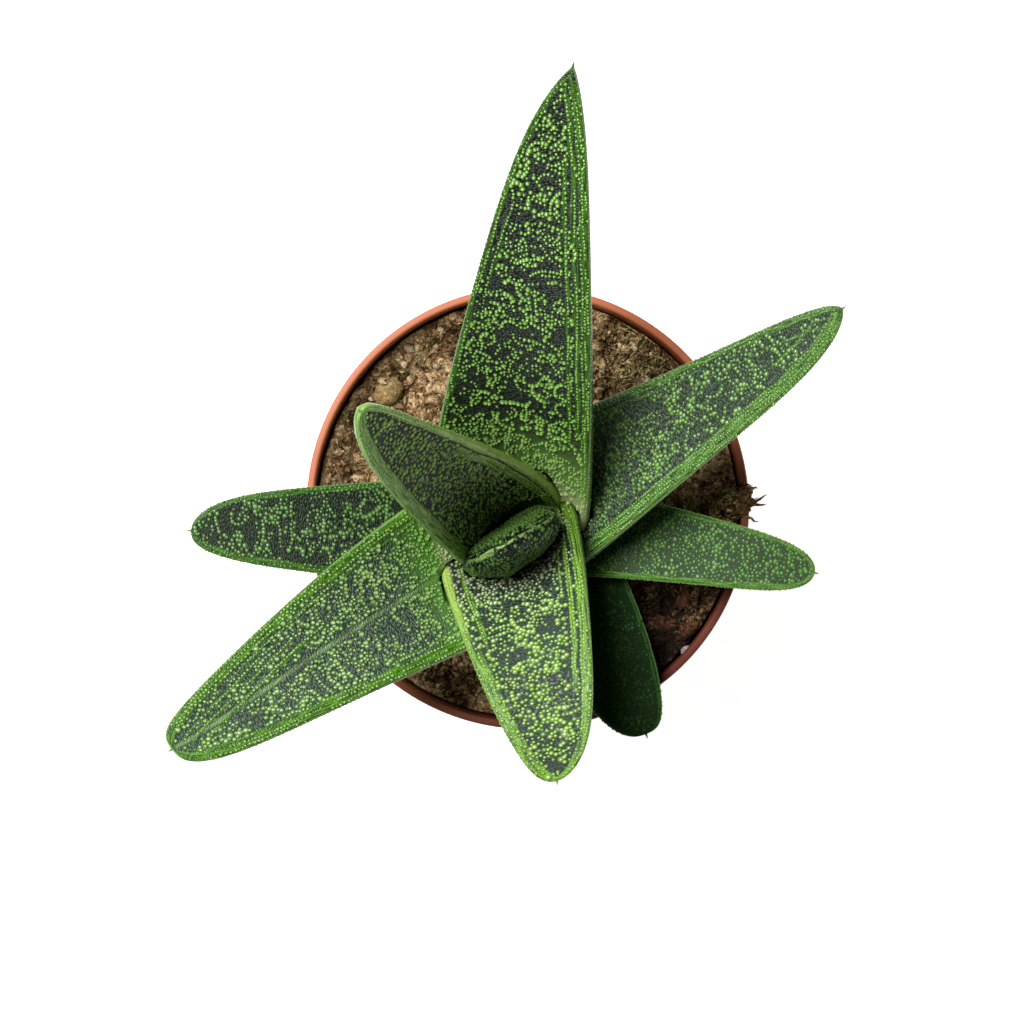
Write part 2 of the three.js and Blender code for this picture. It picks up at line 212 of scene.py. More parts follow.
def moulded_terracotta_polypropylene():
    """Satin plastic: soft broad highlights on a dull orange, a little browner where it is worn.
    Towards one side it turns a deep red-brown, which is painted shade, and it is duller there."""
    material, tree, place = new_tree("moulded_terracotta_polypropylene")
    clouds = add_node(tree, "TexNoise", {"Vector": place, "Scale": 1 / 14, "Detail": 4.0})
    wear = add_node(tree, "MapRange", {0: clouds, 1: 0.45, 2: 0.7, 3: 0.0, 4: 0.35})
    colour = add_node(tree, "MixRGB", {0: wear, 1: linear("#c67049"), 2: linear("#ad5c3e")})
    # Painted shade: towards the side away from the light the pot turns deep red-brown.
    towards = add_node(
        tree, "VectorMath", {0: place, 1: (0.5, -0.87, 0)}, out=1, operation="DOT_PRODUCT")
    painted_shade_side = add_node(tree, "MapRange", {0: towards, 1: 6.0, 2: 34.0})
    colour = add_node(tree, "MixRGB", {0: painted_shade_side, 1: colour, 2: linear("#682c19")})
    roughness = add_node(tree, "MapRange", {0: painted_shade_side, 1: 0.0, 2: 1.0, 3: 0.42, 4: 0.75})
    # Orange peel of the mould, 0.6 mm across, drawn a little deeper than it is.
    peel = add_node(tree, "TexNoise", {"Vector": place, "Scale": 1 / 0.6, "Detail": 2.0})
    bump = add_node(tree, "Bump", {"Height": peel, "Strength": 0.25, "Distance": 0.04 * MM})
    finish_tree(tree, add_node(tree, "BsdfPrincipled", {
        "Base Color": colour, "Roughness": roughness, "IOR": 1.49, "Normal": bump}))
    return material


def pot_outline():
    """The moulding's outline, from the middle of the pad outside and back to the floor inside."""
    foot = BASE_RADIUS - ROUNDING
    lip = RIM_ROUNDING
    band = RIM_RADIUS - RIM_WIDTH / 2
    wall = [
        (BASE_RADIUS + (WALL_TOP_RADIUS - BASE_RADIUS) * i / WALL_STEPS,
         ROUNDING + (COLLAR_BOTTOM - ROUNDING) * i / WALL_STEPS)
        for i in range(1, WALL_STEPS)]
    return [
        (0, 0),
        (PAD_RADIUS, 0),
        (PAD_RADIUS + FOOT_HEIGHT, FOOT_HEIGHT),
        (foot - FOOT_WIDTH - FOOT_HEIGHT, FOOT_HEIGHT),
        (foot - FOOT_WIDTH, 0),
        *arc(foot, ROUNDING, ROUNDING, -90, 0),
        *wall,
        (WALL_TOP_RADIUS - 0.1 * STEP_FILLET, COLLAR_BOTTOM - STEP_FILLET),
        (WALL_TOP_RADIUS + STEP_FILLET, COLLAR_BOTTOM),
        *arc(RIM_RADIUS - COLLAR_DRAFT - STEP_ROUNDING, COLLAR_BOTTOM + STEP_ROUNDING,
             STEP_ROUNDING, -90, 0),
        (RIM_RADIUS - BEAD_INSET[0], POT_HEIGHT - RIM_BEAD[0]),
        (RIM_RADIUS - BEAD_INSET[1], POT_HEIGHT - RIM_BEAD[1]),
        *arc(RIM_RADIUS - lip, POT_HEIGHT - lip, lip, 0, 90),
        (band - 0.05, POT_HEIGHT - RIM_GROOVE),
        *arc(MOUTH_RADIUS + lip, POT_HEIGHT - lip, lip, 90, 180),
        (MOUTH_RADIUS - LINER_DRAFT, STEP_TOP),
        (WALL_TOP_RADIUS - WALL, COLLAR_BOTTOM),
        (BASE_RADIUS - WALL + 0.1, FLOOR + ROUNDING),
        (BASE_RADIUS - WALL - ROUNDING, FLOOR),
        (0, FLOOR),
    ]


pot = new_object("nursery_pot", *turned(pot_outline(), POT_SIDES))
drills = []
for i in range(DRAIN_COUNT):
    angle = 2 * math.pi * i / DRAIN_COUNT
    hole = (DRAIN_CIRCLE * math.cos(angle), DRAIN_CIRCLE * math.sin(angle))
    outline = [(0, -FLOOR), (DRAIN_RADIUS, -FLOOR), (DRAIN_RADIUS, 2 * FLOOR), (0, 2 * FLOOR)]
    drills.append(new_object("drill", *turned(outline, DRAIN_SIDES, hole)))
with_cut(pot, drills)
for drill in drills:
    bpy.data.objects.remove(drill)
pot.data.set_sharp_from_angle(angle=SHARP_EDGE)
settle(pot, moulded_terracotta_polypropylene(), "pot_plastic", "pot")

# ---- Soil -----------------------------------------------------------------------------------
# Peat potting soil, pressed in round the roots and heaped up towards one side of the rim.
# It is a crumbly, fibrous brown mass, painted tan on its crests and nearly black in its hollows as painted
# light and shade, and painted darker where shadow falls on it.

SOIL_LEVEL = 60.8
BANK_RISE = 5.2
BANK_HEADING = math.radians(-28)
BANK = (10, 38)  # it rises between these distances from the axis, on the side that it heads for
WALL_HEAP = (34.0, 39.5)  # distances from the pot's axis between which the soil rises to the wall
WALL_RISE = 4.8
CLODS = 46
CLOD_REACH = 40.4
CLOD_RADIUS = (2.2, 4.6)
CLOD_HEIGHT = (0.5, 1.6)
HOLLOW_SHARE = 0.3  # this share of the clods are hollows instead
HOLLOW_DEPTH = 0.6  # times as deep as a clod is high
ROUGHEST = 2.2  # clods that overlap rise no higher than this
SMOOTH = (12, 20)  # distances from the stem between which the clods come in
# Size and depth of the crumbs that the surface is broken into, coarse to fine.
CRUMBLE = [(5.5, 1.3), (2.4, 1.4), (1.1, 0.9), (0.6, 0.4)]
# Painted shade: where it darkens the soil, and how far round that place.
SHADE_PLACE = (27.0, -24.0)
SHADE_RADIUS = 18.0
SHADE_DEPTH = 0.6
LOW_SIDE = (8, 35)  # painted shade also darkens the soil a little over these distances towards -Y
LOW_SHADE = 0.14
SOIL_TONE = 0.61
CREST_LIGHT_AND_SHADE = 0.28  # how much paler it is for each millimetre that a crumb rises: painted light and shade
SOIL_SIDES = 340
SOIL_RINGS = 96
SOIL_GAP = 0.3  # between the soil and the pot
STEM_CENTRE = (-2.0, -2.5)
STEM_RADIUS = 6.4
STEM_BOTTOM = 45.1
STEM_HOLE = STEM_RADIUS + 0.1
SOIL_MOUTH = MOUTH_RADIUS - LINER_DRAFT


def seeded(seed):
    """A stream of numbers from 0 to 1: with the same seed, the same clods as in the solid soil."""
    state = seed
    while True:
        state = (state + 0x6D2B79F5) & 0xFFFFFFFF
        mixed = ((state ^ (state >> 15)) * (1 | state)) & 0xFFFFFFFF
        turned_over = ((mixed ^ (mixed >> 7)) * (61 | mixed)) & 0xFFFFFFFF
        mixed = ((mixed + turned_over) & 0xFFFFFFFF) ^ mixed
        yield ((mixed ^ (mixed >> 14)) & 0xFFFFFFFF) / 4294967296


def between(ends, share):
    """The value that lies this share of the way from the first end to the second."""
    return ends[0] + (ends[1] - ends[0]) * share


def smoothstep(x, low, high):
    """How far x has come from low to high, eased at both ends."""
    share = np.clip((x - low) / (high - low), 0, 1)
    return share * share * (3 - 2 * share)


def noise(x, y, seed):
    """Smooth seeded noise from 0 to 1, one bump a unit."""
    x, y = np.broadcast_arrays(np.asarray(x, float), np.asarray(y, float))
    left, low = np.floor(x).astype(np.int64), np.floor(y).astype(np.int64)

    def corner(i, j):
        mixed = (i * 374761393 + j * 668265263 + seed * 974634777) & 0xFFFFFFFF
        mixed = ((mixed ^ (mixed >> 13)) * 1274126177) & 0xFFFFFFFF
        return ((mixed ^ (mixed >> 16)) & 0xFFFF) / 65535

    u, v = smoothstep(x - left, 0, 1), smoothstep(y - low, 0, 1)
    near = corner(left, low) * (1 - u) + corner(left + 1, low) * u
    far = corner(left, low + 1) * (1 - u) + corner(left + 1, low + 1) * u
    return near * (1 - v) + far * v


draw = seeded(11)
clods = []
for _ in range(CLODS):
    reach = CLOD_REACH * math.sqrt(next(draw))
    angle = 2 * math.pi * next(draw)
    radius = between(CLOD_RADIUS, next(draw))
    height = between(CLOD_HEIGHT, next(draw))
    if next(draw) < HOLLOW_SHARE:
        height *= -HOLLOW_DEPTH
    clods.append((reach * math.cos(angle), reach * math.sin(angle), radius, height))


def crumbled(x, y):
    """Height that the crumbs add to the surface."""
    height = np.zeros_like(x)
    for step, (size, depth) in enumerate(CRUMBLE):
        # Turned by a different angle at each size, so that no grid shows.
        turn = 0.6 + 1.1 * step
        along = (x * math.cos(turn) + y * math.sin(turn)) / size
        across = (y * math.cos(turn) - x * math.sin(turn)) / size
        crumbs = noise(along, across, 30 + step)
        height = height + depth * (crumbs - 0.25 - 0.6 * np.abs(2 * crumbs - 1) ** 0.8)
    return height


def soil_top(x, y):
    """Height of the soil's broken surface."""
    towards_bank = x * math.cos(BANK_HEADING) + y * math.sin(BANK_HEADING)
    high_side = smoothstep(towards_bank, *BANK)
    # The bank lifts the soil enough on its own side.
    heap = WALL_RISE * smoothstep(np.hypot(x, y), *WALL_HEAP) * (1 - 0.7 * high_side)
    ground = SOIL_LEVEL + BANK_RISE * high_side + heap
    rough = np.zeros_like(x)
    for clod_x, clod_y, radius, height in clods:
        rough += height * np.exp(-((x - clod_x) ** 2 + (y - clod_y) ** 2) / radius ** 2)
    from_stem = np.hypot(x - STEM_CENTRE[0], y - STEM_CENTRE[1])
    return ground + np.minimum(rough, ROUGHEST) * smoothstep(from_stem, *SMOOTH) + crumbled(x, y)


def painted_soil_shade(x, y):
    """How much darker the soil is painted at a place: painted shade."""
    patch = SHADE_DEPTH * np.exp(-((x - SHADE_PLACE[0]) ** 2 + (y - SHADE_PLACE[1]) ** 2) / SHADE_RADIUS ** 2)
    return patch + LOW_SHADE * smoothstep(-y, *LOW_SIDE)


def soil_ring(radius, stem_share, z=None):
    """A ring whose middle lies between the pot's axis (0) and the stem's axis (1)."""
    turn = full_turn(SOIL_SIDES)
    x = STEM_CENTRE[0] * stem_share + radius * np.cos(turn)
    y = STEM_CENTRE[1] * stem_share + radius * np.sin(turn)
    return np.stack([x, y, soil_top(x, y) if z is None else np.full(SOIL_SIDES, z)], -1)


def peat(name, shades):
    """Dry crumbled matter with hardly any gloss. It passes through four shades by the mesh's tone, from
    its darkest bits to its palest ones; the tone also carries painted light and painted shade.
    Patches of 6 mm, fibres and grains of half a millimetre each shift it to a darker or a paler one."""
    material, tree, place = new_tree(name)
    tone = add_node(tree, "Attribute", {}, out=2, attribute_name="tone")
    patches = add_node(tree, "TexNoise", {"Vector": place, "Scale": 1 / 6, "Detail": 4.0})
    grains = add_node(tree, "TexVoronoi", {"Vector": place, "Scale": 1 / 0.55}, out=1)
    grain = add_node(tree, "SeparateColor", {"Color": grains})
    fibres = add_node(
        tree, "TexNoise", {"Vector": place, "Scale": 1 / 0.8, "Detail": 5.0, "Distortion": 1.5})
    level = add_node(tree, "MapRange", {0: patches, 1: 0.3, 2: 0.7, 3: -0.22, 4: 0.22})
    for source, reach in ((grain, 0.28), (fibres, 0.5)):
        share = add_node(tree, "MapRange", {0: source, 1: 0.0, 2: 1.0, 3: -reach, 4: reach})
        level = add_node(tree, "Math", {0: level, 1: share}, operation="ADD")
    level = add_node(tree, "Math", {0: level, 1: tone}, operation="ADD")
    colour = linear(shades[0])
    steps = len(shades) - 1
    for number, shade in enumerate(shades[1:]):
        share = add_node(tree, "MapRange", {0: level, 1: number / steps, 2: (number + 1) / steps})
        colour = add_node(tree, "MixRGB", {0: share, 1: colour, 2: linear(shade)})
    # Grit of 0.4 mm, which breaks up the light on every face.
    grit = add_node(tree, "TexNoise", {"Vector": place, "Scale": 1 / 0.4, "Detail": 4.0})
    bump = add_node(tree, "Bump", {"Height": grit, "Strength": 1.0, "Distance": 0.5 * MM})
    finish_tree(tree, add_node(tree, "BsdfPrincipled", {
        "Base Color": colour, "Roughness": 0.95, "Specular IOR Level": 0.2, "Normal": bump}))
    return material


def paint(mesh, name, values):
    """Stores a number at each point of a mesh, for its material to read."""
    mesh.attributes.new(name, "FLOAT", "POINT").data.foreach_set("value", np.asarray(values, "f"))


rings = [
    soil_ring(BASE_RADIUS - WALL - ROUNDING - SOIL_GAP, 0, FLOOR + SOIL_GAP),
    soil_ring(BASE_RADIUS - WALL - SOIL_GAP, 0, FLOOR + SOIL_GAP + ROUNDING),
    soil_ring(WALL_TOP_RADIUS - WALL - SOIL_GAP, 0, COLLAR_BOTTOM),
    soil_ring(SOIL_MOUTH - SOIL_GAP, 0, STEP_TOP + SOIL_GAP),
]
for i in range(SOIL_RINGS + 1):
    inward = i / SOIL_RINGS
    rings.append(soil_ring(between((SOIL_MOUTH - SOIL_GAP, STEM_HOLE), inward), inward))
rings.append(soil_ring(STEM_HOLE, 1, STEM_BOTTOM - SOIL_GAP))
points, quads, caps = skin_over_rings(
    rings, [0, 0, FLOOR + SOIL_GAP], [*STEM_CENTRE, STEM_BOTTOM - SOIL_GAP])
soil = new_object("potting_peat", points, quads, caps)
around = points[:, 0], points[:, 1]
# Its tone: paler on the crests and darker in the hollows, painted light and shade, and darker where painted
# shade lies.
paint(soil.data, "tone", SOIL_TONE + CREST_LIGHT_AND_SHADE * crumbled(*around) - painted_soil_shade(*around))
settle(soil, peat("dry_peat", ["#22180e", "#64492d", "#a5845a", "#dcc399"]), "potting_soil", "soil")

# ---- Crumbs and chips on the soil --------------------------------------------------------------
# Loose bits of the potting mix that lie where they fell: crumbs of peat, two lumps of pressed
# fibre, six chips of bark, a grain of perlite and four other pale grains. Five bits of dead root
# lie on the rim and just inside it. All are dry, and most are paler than what they lie on.

CRUMBS = 3600
CRUMB_RADIUS = (0.22, 1.0)
CRUMB_SKEW = 2.6  # the higher this power, the fewer large crumbs
CRUMB_EDGE = 1.5  # they keep this far off the wall
CRUMB_CLEARANCE = 14  # and this far from the stem's axis
CRUMB_ROUGHNESS = 0.5
CRUMB_TONE = 0.31
CRUMB_TONE_SPREAD = 0.7
LUMP_ROWS = 9
LUMP_SIDES = 20
LUMP_TONE = 0.55
BARK_SHADE_SHARE = 0.4  # bark takes this share of the soil's painted shade
# Place, length, width, height, turn in degrees and kind of the lumps that stand out.
LUMPS = [
    ((-27.4, 23.0), 6.6, 6.0, 3.0, 20, "fibre"),
    ((26.9, -22.3), 7.6, 2.8, 2.4, -15, "bark"),
    ((30.8, -23.6), 5.4, 2.4, 1.8, 42, "bark"),
    ((30.2, -17.6), 4.6, 2.6, 1.6, 65, "bark"),
    ((23.2, -28.8), 3.4, 2.0, 1.4, -50, "bark"),
    ((30.4, -27.4), 2.2, 1.7, 1.9, 35, "perlite"),
    ((-23.0, 30.8), 2.7, 1.6, 1.6, -25, "pale"),
    ((36.2, 7.8), 2.9, 2.6, 1.8, 0, "fibre"),
    ((34.4, 0.4), 2.7, 1.7, 1.4, 30, "bark"),
    ((36.4, -6.3), 3.6, 2.6, 1.8, 25, "bark"),
    ((41.4, 2.4), 3.6, 2.6, 1.3, 62, "root"),
    ((41.2, -0.3), 3.4, 2.2, 1.2, 15, "root"),
    ((42.6, 1.2), 2.8, 1.5, 1.0, -15, "root"),
    ((38.3, 0.6), 4.2, 3.4, 3.6, 40, "root"),
    ((38.6, 3.4), 3.4, 2.6, 3.2, 70, "root"),
    ((-17.6, 27.4), 1.6, 1.3, 1.2, 0, "pale"),
    ((-15.2, 24.2), 2.0, 1.8, 1.4, 40, "pale"),
    ((-35.6, -0.5), 1.7, 1.5, 1.3, 0, "pale"),
]
# How rough each kind is, and its four shades.
LUMP_KINDS = {
    "fibre": (0.09, ["#5f4a31", "#8b734c", "#ae915f", "#d0b482"]),
    "bark": (0.2, ["#2c1b12", "#5a3a27", "#785138", "#966c4c"]),
    "root": (0.2, ["#21150c", "#523822", "#785637", "#a27d54"]),
    "perlite": (0.2, ["#857975", "#a89a95", "#c0b3ae", "#d8cdc8"]),
    "pale": (0.09, ["#6b5a45", "#93806a", "#aa967c", "#c4b297"]),
}


def lump(place, length, width, height, turn, seed, rows, sides, rough):
    """A rounded broken bit round a place: its roughness is the share by which its skin varies."""
    rng = np.random.default_rng(seed)
    level = np.arange(1, rows + 1) / (rows + 1) * math.pi
    around = full_turn(sides)
    swell = 1 + rough * (rng.random((rows, sides)) - 0.5) * 2
    x = np.sin(level)[:, None] * np.cos(around) * swell * length / 2
    y = np.sin(level)[:, None] * np.sin(around) * swell * width / 2
    z = np.broadcast_to(-np.cos(level)[:, None] * height / 2, x.shape)
    cos, sin = math.cos(turn), math.sin(turn)
    rings = np.stack([place[0] + x * cos - y * sin, place[1] + x * sin + y * cos, place[2] + z], -1)
    low = [place[0], place[1], place[2] - height / 2]
    high = [place[0], place[1], place[2] + height / 2]
    return skin_over_rings(rings, low, high)


def gather(skins, tones):
    """Many closed skins as one: all the points, all the faces and a tone for each point."""
    points, faces, shades, start = [], [], [], 0
    for (corners, *groups), tone in zip(skins, tones):
        points.append(corners)
        for group in groups:
            faces.extend((group + start).tolist())
        shades.append(np.full(len(corners), tone))
        start += len(corners)
    return np.vstack(points), faces, np.concatenate(shades)


def scattered(rng, count, edge, from_stem):
    """Places spread evenly over the soil, clear of its edge and of the stem."""
    drawn = 4 * count  # those that fall by the stem are left out
    reach = (SOIL_MOUTH - edge) * np.sqrt(rng.random(drawn))
    angle = 2 * math.pi * rng.random(drawn)
    places = np.stack([reach * np.cos(angle), reach * np.sin(angle)], -1)
    return places[np.hypot(*(places - STEM_CENTRE).T) > from_stem][:count]


rng = np.random.default_rng(5)
places = scattered(rng, CRUMBS, CRUMB_EDGE, CRUMB_CLEARANCE)
tops = soil_top(places[:, 0], places[:, 1])
skins = []
for (x, y), top in zip(places, tops):
    radius = between(CRUMB_RADIUS, rng.random() ** CRUMB_SKEW)
    # Some stand a little proud of the soil and others are sunk in it.
    z = top + (0.5 * rng.random() - 0.1) * radius
    length, width = radius * (1.4 + rng.random()), radius * 1.6
    height = radius * (1.1 + 0.6 * rng.random())
    skins.append(lump(
        (x, y, z), length, width, height, math.pi * rng.random(), len(skins), rows=2, sides=6,
        rough=CRUMB_ROUGHNESS))
# Painted shade darkens them where it darkens the soil.
shades = CRUMB_TONE + CRUMB_TONE_SPREAD * rng.random(CRUMBS) ** 1.4 - painted_soil_shade(*places.T)
points, faces, tones = gather(skins, shades)
crumbs = new_object("peat_crumbs", points, faces)
crumbs.data.shade_flat()
paint(crumbs.data, "tone", tones)
settle(crumbs, peat("dry_peat_crumbs", ["#281b10", "#745537", "#ad8860", "#e4cba3"]), "potting_soil")

for number, (place, length, width, height, turn, kind) in enumerate(LUMPS):
    on_rim = kind == "root" and math.hypot(*place) > MOUTH_RADIUS
    ground = POT_HEIGHT if on_rim else float(soil_top(np.array(place[0]), np.array(place[1])))
    # On the rim the whole lump shows, and on the soil its lower half is sunk.
    z = ground + 0.1 * height + (0.5 * height if on_rim else 0)
    rough, shades = LUMP_KINDS[kind]
    skin = lump(
        (*place, z), length, width, height, math.radians(turn), 70 + number, LUMP_ROWS, LUMP_SIDES,
        rough)
    piece = new_object(f"soil_{kind}_{number + 1}", *skin)
    # Bark lumps take part of the soil's painted shade.
    shade = LUMP_TONE - (BARK_SHADE_SHARE * float(painted_soil_shade(*place)) if kind == "bark" else 0)
    paint(piece.data, "tone", np.full(len(piece.data.vertices), shade))
    settle(piece, peat(f"{kind}_lump_{number + 1}", shades), "potting_soil")

# ---- Fibres ------------------------------------------------------------------------------------
# Peat fibres and fine dead roots that lie over the crumbs, and a tuft of them that has slid over
# the rim. They are dry and brown. Those on the soil are as thin as thread, and the tuft's thicker.

FIBRES = 1800
FIBRE_RADIUS = (0.06, 0.17)
FIBRE_LENGTH = (1.5, 6.0)
FIBRE_BEND = 0.5
FIBRE_RISE = 0.25
FIBRE_STEPS = 7
FIBRE_SIDES = 3
# Where they lie thickest, matted like moss, with the radius of that patch and its share of them.
MAT = (22.0, 27.0)
MAT_RADIUS = 11.0
MAT_SHARE = 0.45
TUFT = 150
TUFT_PLACE = (39.9, 1.2, 70.2)
TUFT_SPREAD = (1.2, 1.3, 0.4)
TUFT_RADIUS = (0.3, 0.8)
TUFT_TAPER = 0.8
TUFT_WOBBLE = 0.16


def fibre(path, radius, taper=0.0):
    """A thin closed thread along a path, drawn to a point at both ends and thinner to the last."""
    path = np.asarray(path, float)
    radii = radius * (1 - taper * np.linspace(0, 1, len(path)))
    along = np.gradient(path, axis=0)
    along /= np.linalg.norm(along, axis=1, keepdims=True)
    side = np.cross(along, [0, 0, 1.0])
    side /= np.linalg.norm(side, axis=1, keepdims=True) + 1e-9
    up = np.cross(side, along)
    angle = full_turn(FIBRE_SIDES)
    rings = [path[i] + radii[i] * (np.outer(np.cos(angle), side[i]) + np.outer(np.sin(angle), up[i]))
             for i in range(1, len(path) - 1)]
    return skin_over_rings([ring[::-1] for ring in rings], path[0], path[-1])


rng = np.random.default_rng(8)
places = scattered(rng, FIBRES, 3, 15)
matted = rng.random(FIBRES) < MAT_SHARE
places[matted] = np.array(MAT) + rng.normal(0, 0.45 * MAT_RADIUS, (matted.sum(), 2))
places *= np.minimum(1, (SOIL_MOUTH - 1) / np.hypot(*places.T))[:, None]
skins = []
for x, y in places:
    heading, bend = 2 * math.pi * rng.random(), rng.normal(0, FIBRE_BEND)
    length = between(FIBRE_LENGTH, rng.random())
    steps = np.linspace(0, 1, FIBRE_STEPS)
    turn = heading + bend * steps * 3
    xs = x + np.cumsum(np.cos(turn)) * length / FIBRE_STEPS
    ys = y + np.cumsum(np.sin(turn)) * length / FIBRE_STEPS
    # None runs into the wall.
    inside = np.minimum(1, (SOIL_MOUTH - 0.6) / np.maximum(np.hypot(xs, ys), 1e-6))
    xs, ys = xs * inside, ys * inside
    lift = FIBRE_RISE * (0.5 + rng.random()) * (1 + 2 * np.sin(math.pi * steps) * rng.random())
    radius = between(FIBRE_RADIUS, rng.random())
    skins.append(fibre(np.stack([xs, ys, soil_top(xs, ys) + lift], -1), radius))
for _ in range(TUFT):
    start = np.array(TUFT_PLACE) + rng.normal(0, 1, 3) * TUFT_SPREAD
    heading = rng.normal(0.1, 0.5)
    length = 2.0 + 3.4 * rng.random() ** 4
    steps = np.linspace(0, 1, 6)[:, None]
    forward = np.array([math.cos(heading), math.sin(heading), 0.25 * rng.normal()])
    sag = np.array([0, 0, -0.12 * length]) * steps ** 2
    path = start - forward * 1.5 + forward * length * steps + sag
    path += rng.normal(0, TUFT_WOBBLE, path.shape)
    # They lie on the rim and hang down beyond it.
    over_rim = np.hypot(path[:, 0], path[:, 1]) < RIM_RADIUS + 0.5
    path[:, 2] = np.maximum(path[:, 2], np.where(over_rim, POT_HEIGHT + 0.1, 0))
    skins.append(fibre(path, between(TUFT_RADIUS, rng.random()), TUFT_TAPER))
shades = 0.2 + 0.7 * rng.random(len(skins))
# Those on the soil take its painted shade.
shades[:FIBRES] -= painted_soil_shade(places[:, 0], places[:, 1])
shades[FIBRES:] -= 0.05
points, faces, tones = gather(skins, shades)
fibres = new_object("peat_fibres", points, faces)
paint(fibres.data, "tone", tones)
settle(fibres, peat("peat_fibre", ["#23170e", "#5d4728", "#97804f", "#d2bd87"]), "potting_soil")

# ---- Stem --------------------------------------------------------------------------------------
# The short thick stem that carries the leaves and stands in the soil. It is pale waxy tissue, with
# a faint ring where each old leaf was, and the leaf bases hide nearly all of it.

# Height and radius, from the foot up.
STEM_OUTLINE = [
    (46, 3.0), (47.5, 4.6), (53, 6.0), (63, 6.4), (68, 6.0), (72, 5.0), (75.5, 3.8), (78, 2.6), (79, 1.4)]
STEM_TOP = 79.9
STEM_ROWS = 90
STEM_SIDES = 48
SCAR_SPACING = 1.6
SCAR_DEPTH = 0.06


def waxy_stem():
    """Pale yellowish green tissue with a dull waxy gloss, a browner foot and a dark green tip."""
    material, tree, place = new_tree("waxy_stem_tissue")
    height = add_node(tree, "SeparateXYZ", {0: place}, out=2)
    browner = add_node(tree, "MapRange", {0: height, 1: 66.0, 2: 58.0, 3: 0.0, 4: 0.8})
    colour = add_node(tree, "MixRGB", {0: browner, 1: linear("#b9c98a"), 2: linear("#7d6a4a")})
    greener = add_node(tree, "MapRange", {0: height, 1: 73.0, 2: 76.5})
    colour = add_node(tree, "MixRGB", {0: greener, 1: colour, 2: linear("#1e2f12")})
    grain = add_node(tree, "TexNoise", {"Vector": place, "Scale": 1 / 0.5, "Detail": 3.0})
    bump = add_node(tree, "Bump", {"Height": grain, "Strength": 0.5, "Distance": 0.05 * MM})
    finish_tree(tree, add_node(tree, "BsdfPrincipled", {
        "Base Color": colour, "Roughness": 0.5, "IOR": 1.42, "Normal": bump}))
    return material


heights, radii = np.array(STEM_OUTLINE).T
fine = np.linspace(heights[0], heights[-1], STEM_ROWS)
scars = SCAR_DEPTH * np.cos(2 * math.pi * fine / SCAR_SPACING)
ringed = np.interp(fine, heights, radii) - SCAR_DEPTH + scars
outline = [(0, STEM_BOTTOM), *zip(ringed, fine), (0, STEM_TOP)]
stem = new_object("gasteria_stem", *turned(outline, STEM_SIDES, STEM_CENTRE))
settle(stem, waxy_stem(), "stem_tissue", "stem")

# ---- Leaves ------------------------------------------------------------------------------------
# Nine thick blades, listed from the youngest in the heart to the oldest on the soil. Each is curled
# round the stem at its base, flattens outwards and ends in a small point. The skin is dark green
# and finely beaded like shagreen, with green bands along the margins, and it carries pale warts.

# Heading and sweep: where a leaf points at its foot and how far it turns from there, in degrees.
# Start: how far out from the stem's axis, to the right and up its foot is. Rise: its pitch at foot
# and tip, and arch: how early it bends from the one to the other. Width: at foot, middle and
# shoulder. Tip: how late the blade narrows and how bluntly. Twist and cup: its roll and the angle
# that it curls through, at foot and tip. Hook: how far its tip bends to the right. Crown: the share
# of its thickness above the midline, where it isn't the usual one.
LEAVES = [
    dict(heading=-62, sweep=0, length=29, start=(3, 3, 77.5), rise=(82, 99), arch=1.0, crown=0.75,
         width=(17, 20, 15), thick=5.6, tip=(3.2, 0.5), twist=(0, 0), cup=(100, 30), hook=1.0),
    dict(heading=150.5, sweep=-5.5, length=74.5, start=(2.5, -0.5, 75.5), rise=(79, 55), arch=1.3,
         width=(26, 21.8, 18.8), thick=5.0, tip=(2.1, 0.39), twist=(20, -6), cup=(140, 45), hook=2),
    dict(heading=-81.5, sweep=7.5, length=57, start=(3.8, 1.5, 73.5), rise=(74, -1), arch=1.2,
         width=(32, 25.2, 16.8), thick=5.0, tip=(10.5, 0.47), twist=(-12, -7), cup=(140, 26), hook=1.8),
    dict(heading=84, sweep=-2, length=111.5, start=(4.5, -1.8, 71.5), rise=(72, 30), arch=1.4,
         width=(35, 25.5, 13.3), thick=5.4, tip=(15, 0.8), twist=(-1.5, 10), cup=(130, 26), hook=1.5),
    dict(heading=207.5, sweep=10.5, length=85.5, start=(5, -2.2, 69.5), rise=(60, 18), arch=1.6,
         width=(35, 26, 15.4), thick=5.2, tip=(17, 0.3), twist=(5, 3), cup=(120, 24), hook=1.5),
    dict(heading=31.5, sweep=1, length=84.5, start=(5, 0, 68), rise=(62, 25), arch=1.6,
         width=(33.5, 20.6, 12.4), thick=4.8, tip=(10, 0.58), twist=(3, 1), cup=(120, 20), hook=-1.5),
    dict(heading=182, sweep=-5, length=61.5, start=(6, -1.2, 66), rise=(48, 10), arch=1.6,
         width=(22.5, 18.3, 13.6), thick=4.2, tip=(9.6, 0.44), twist=(0, 0), cup=(105, 14), hook=-1),
    dict(heading=-8, sweep=-4, length=56.3, start=(6, 0, 65), rise=(48, 8), arch=1.6,
         width=(21, 14.9, 11.3), thick=4.0, tip=(10, 0.46), twist=(-2.5, 0), cup=(105, 14), hook=0),
    dict(heading=-60, sweep=-9, length=44.2, start=(6, -3.3, 64.2), rise=(42, 4), arch=1.8,
         width=(20.5, 18.8, 14.5), thick=4.0, tip=(8.4, 0.36), twist=(0, 0), cup=(105, 14), hook=-1),
]
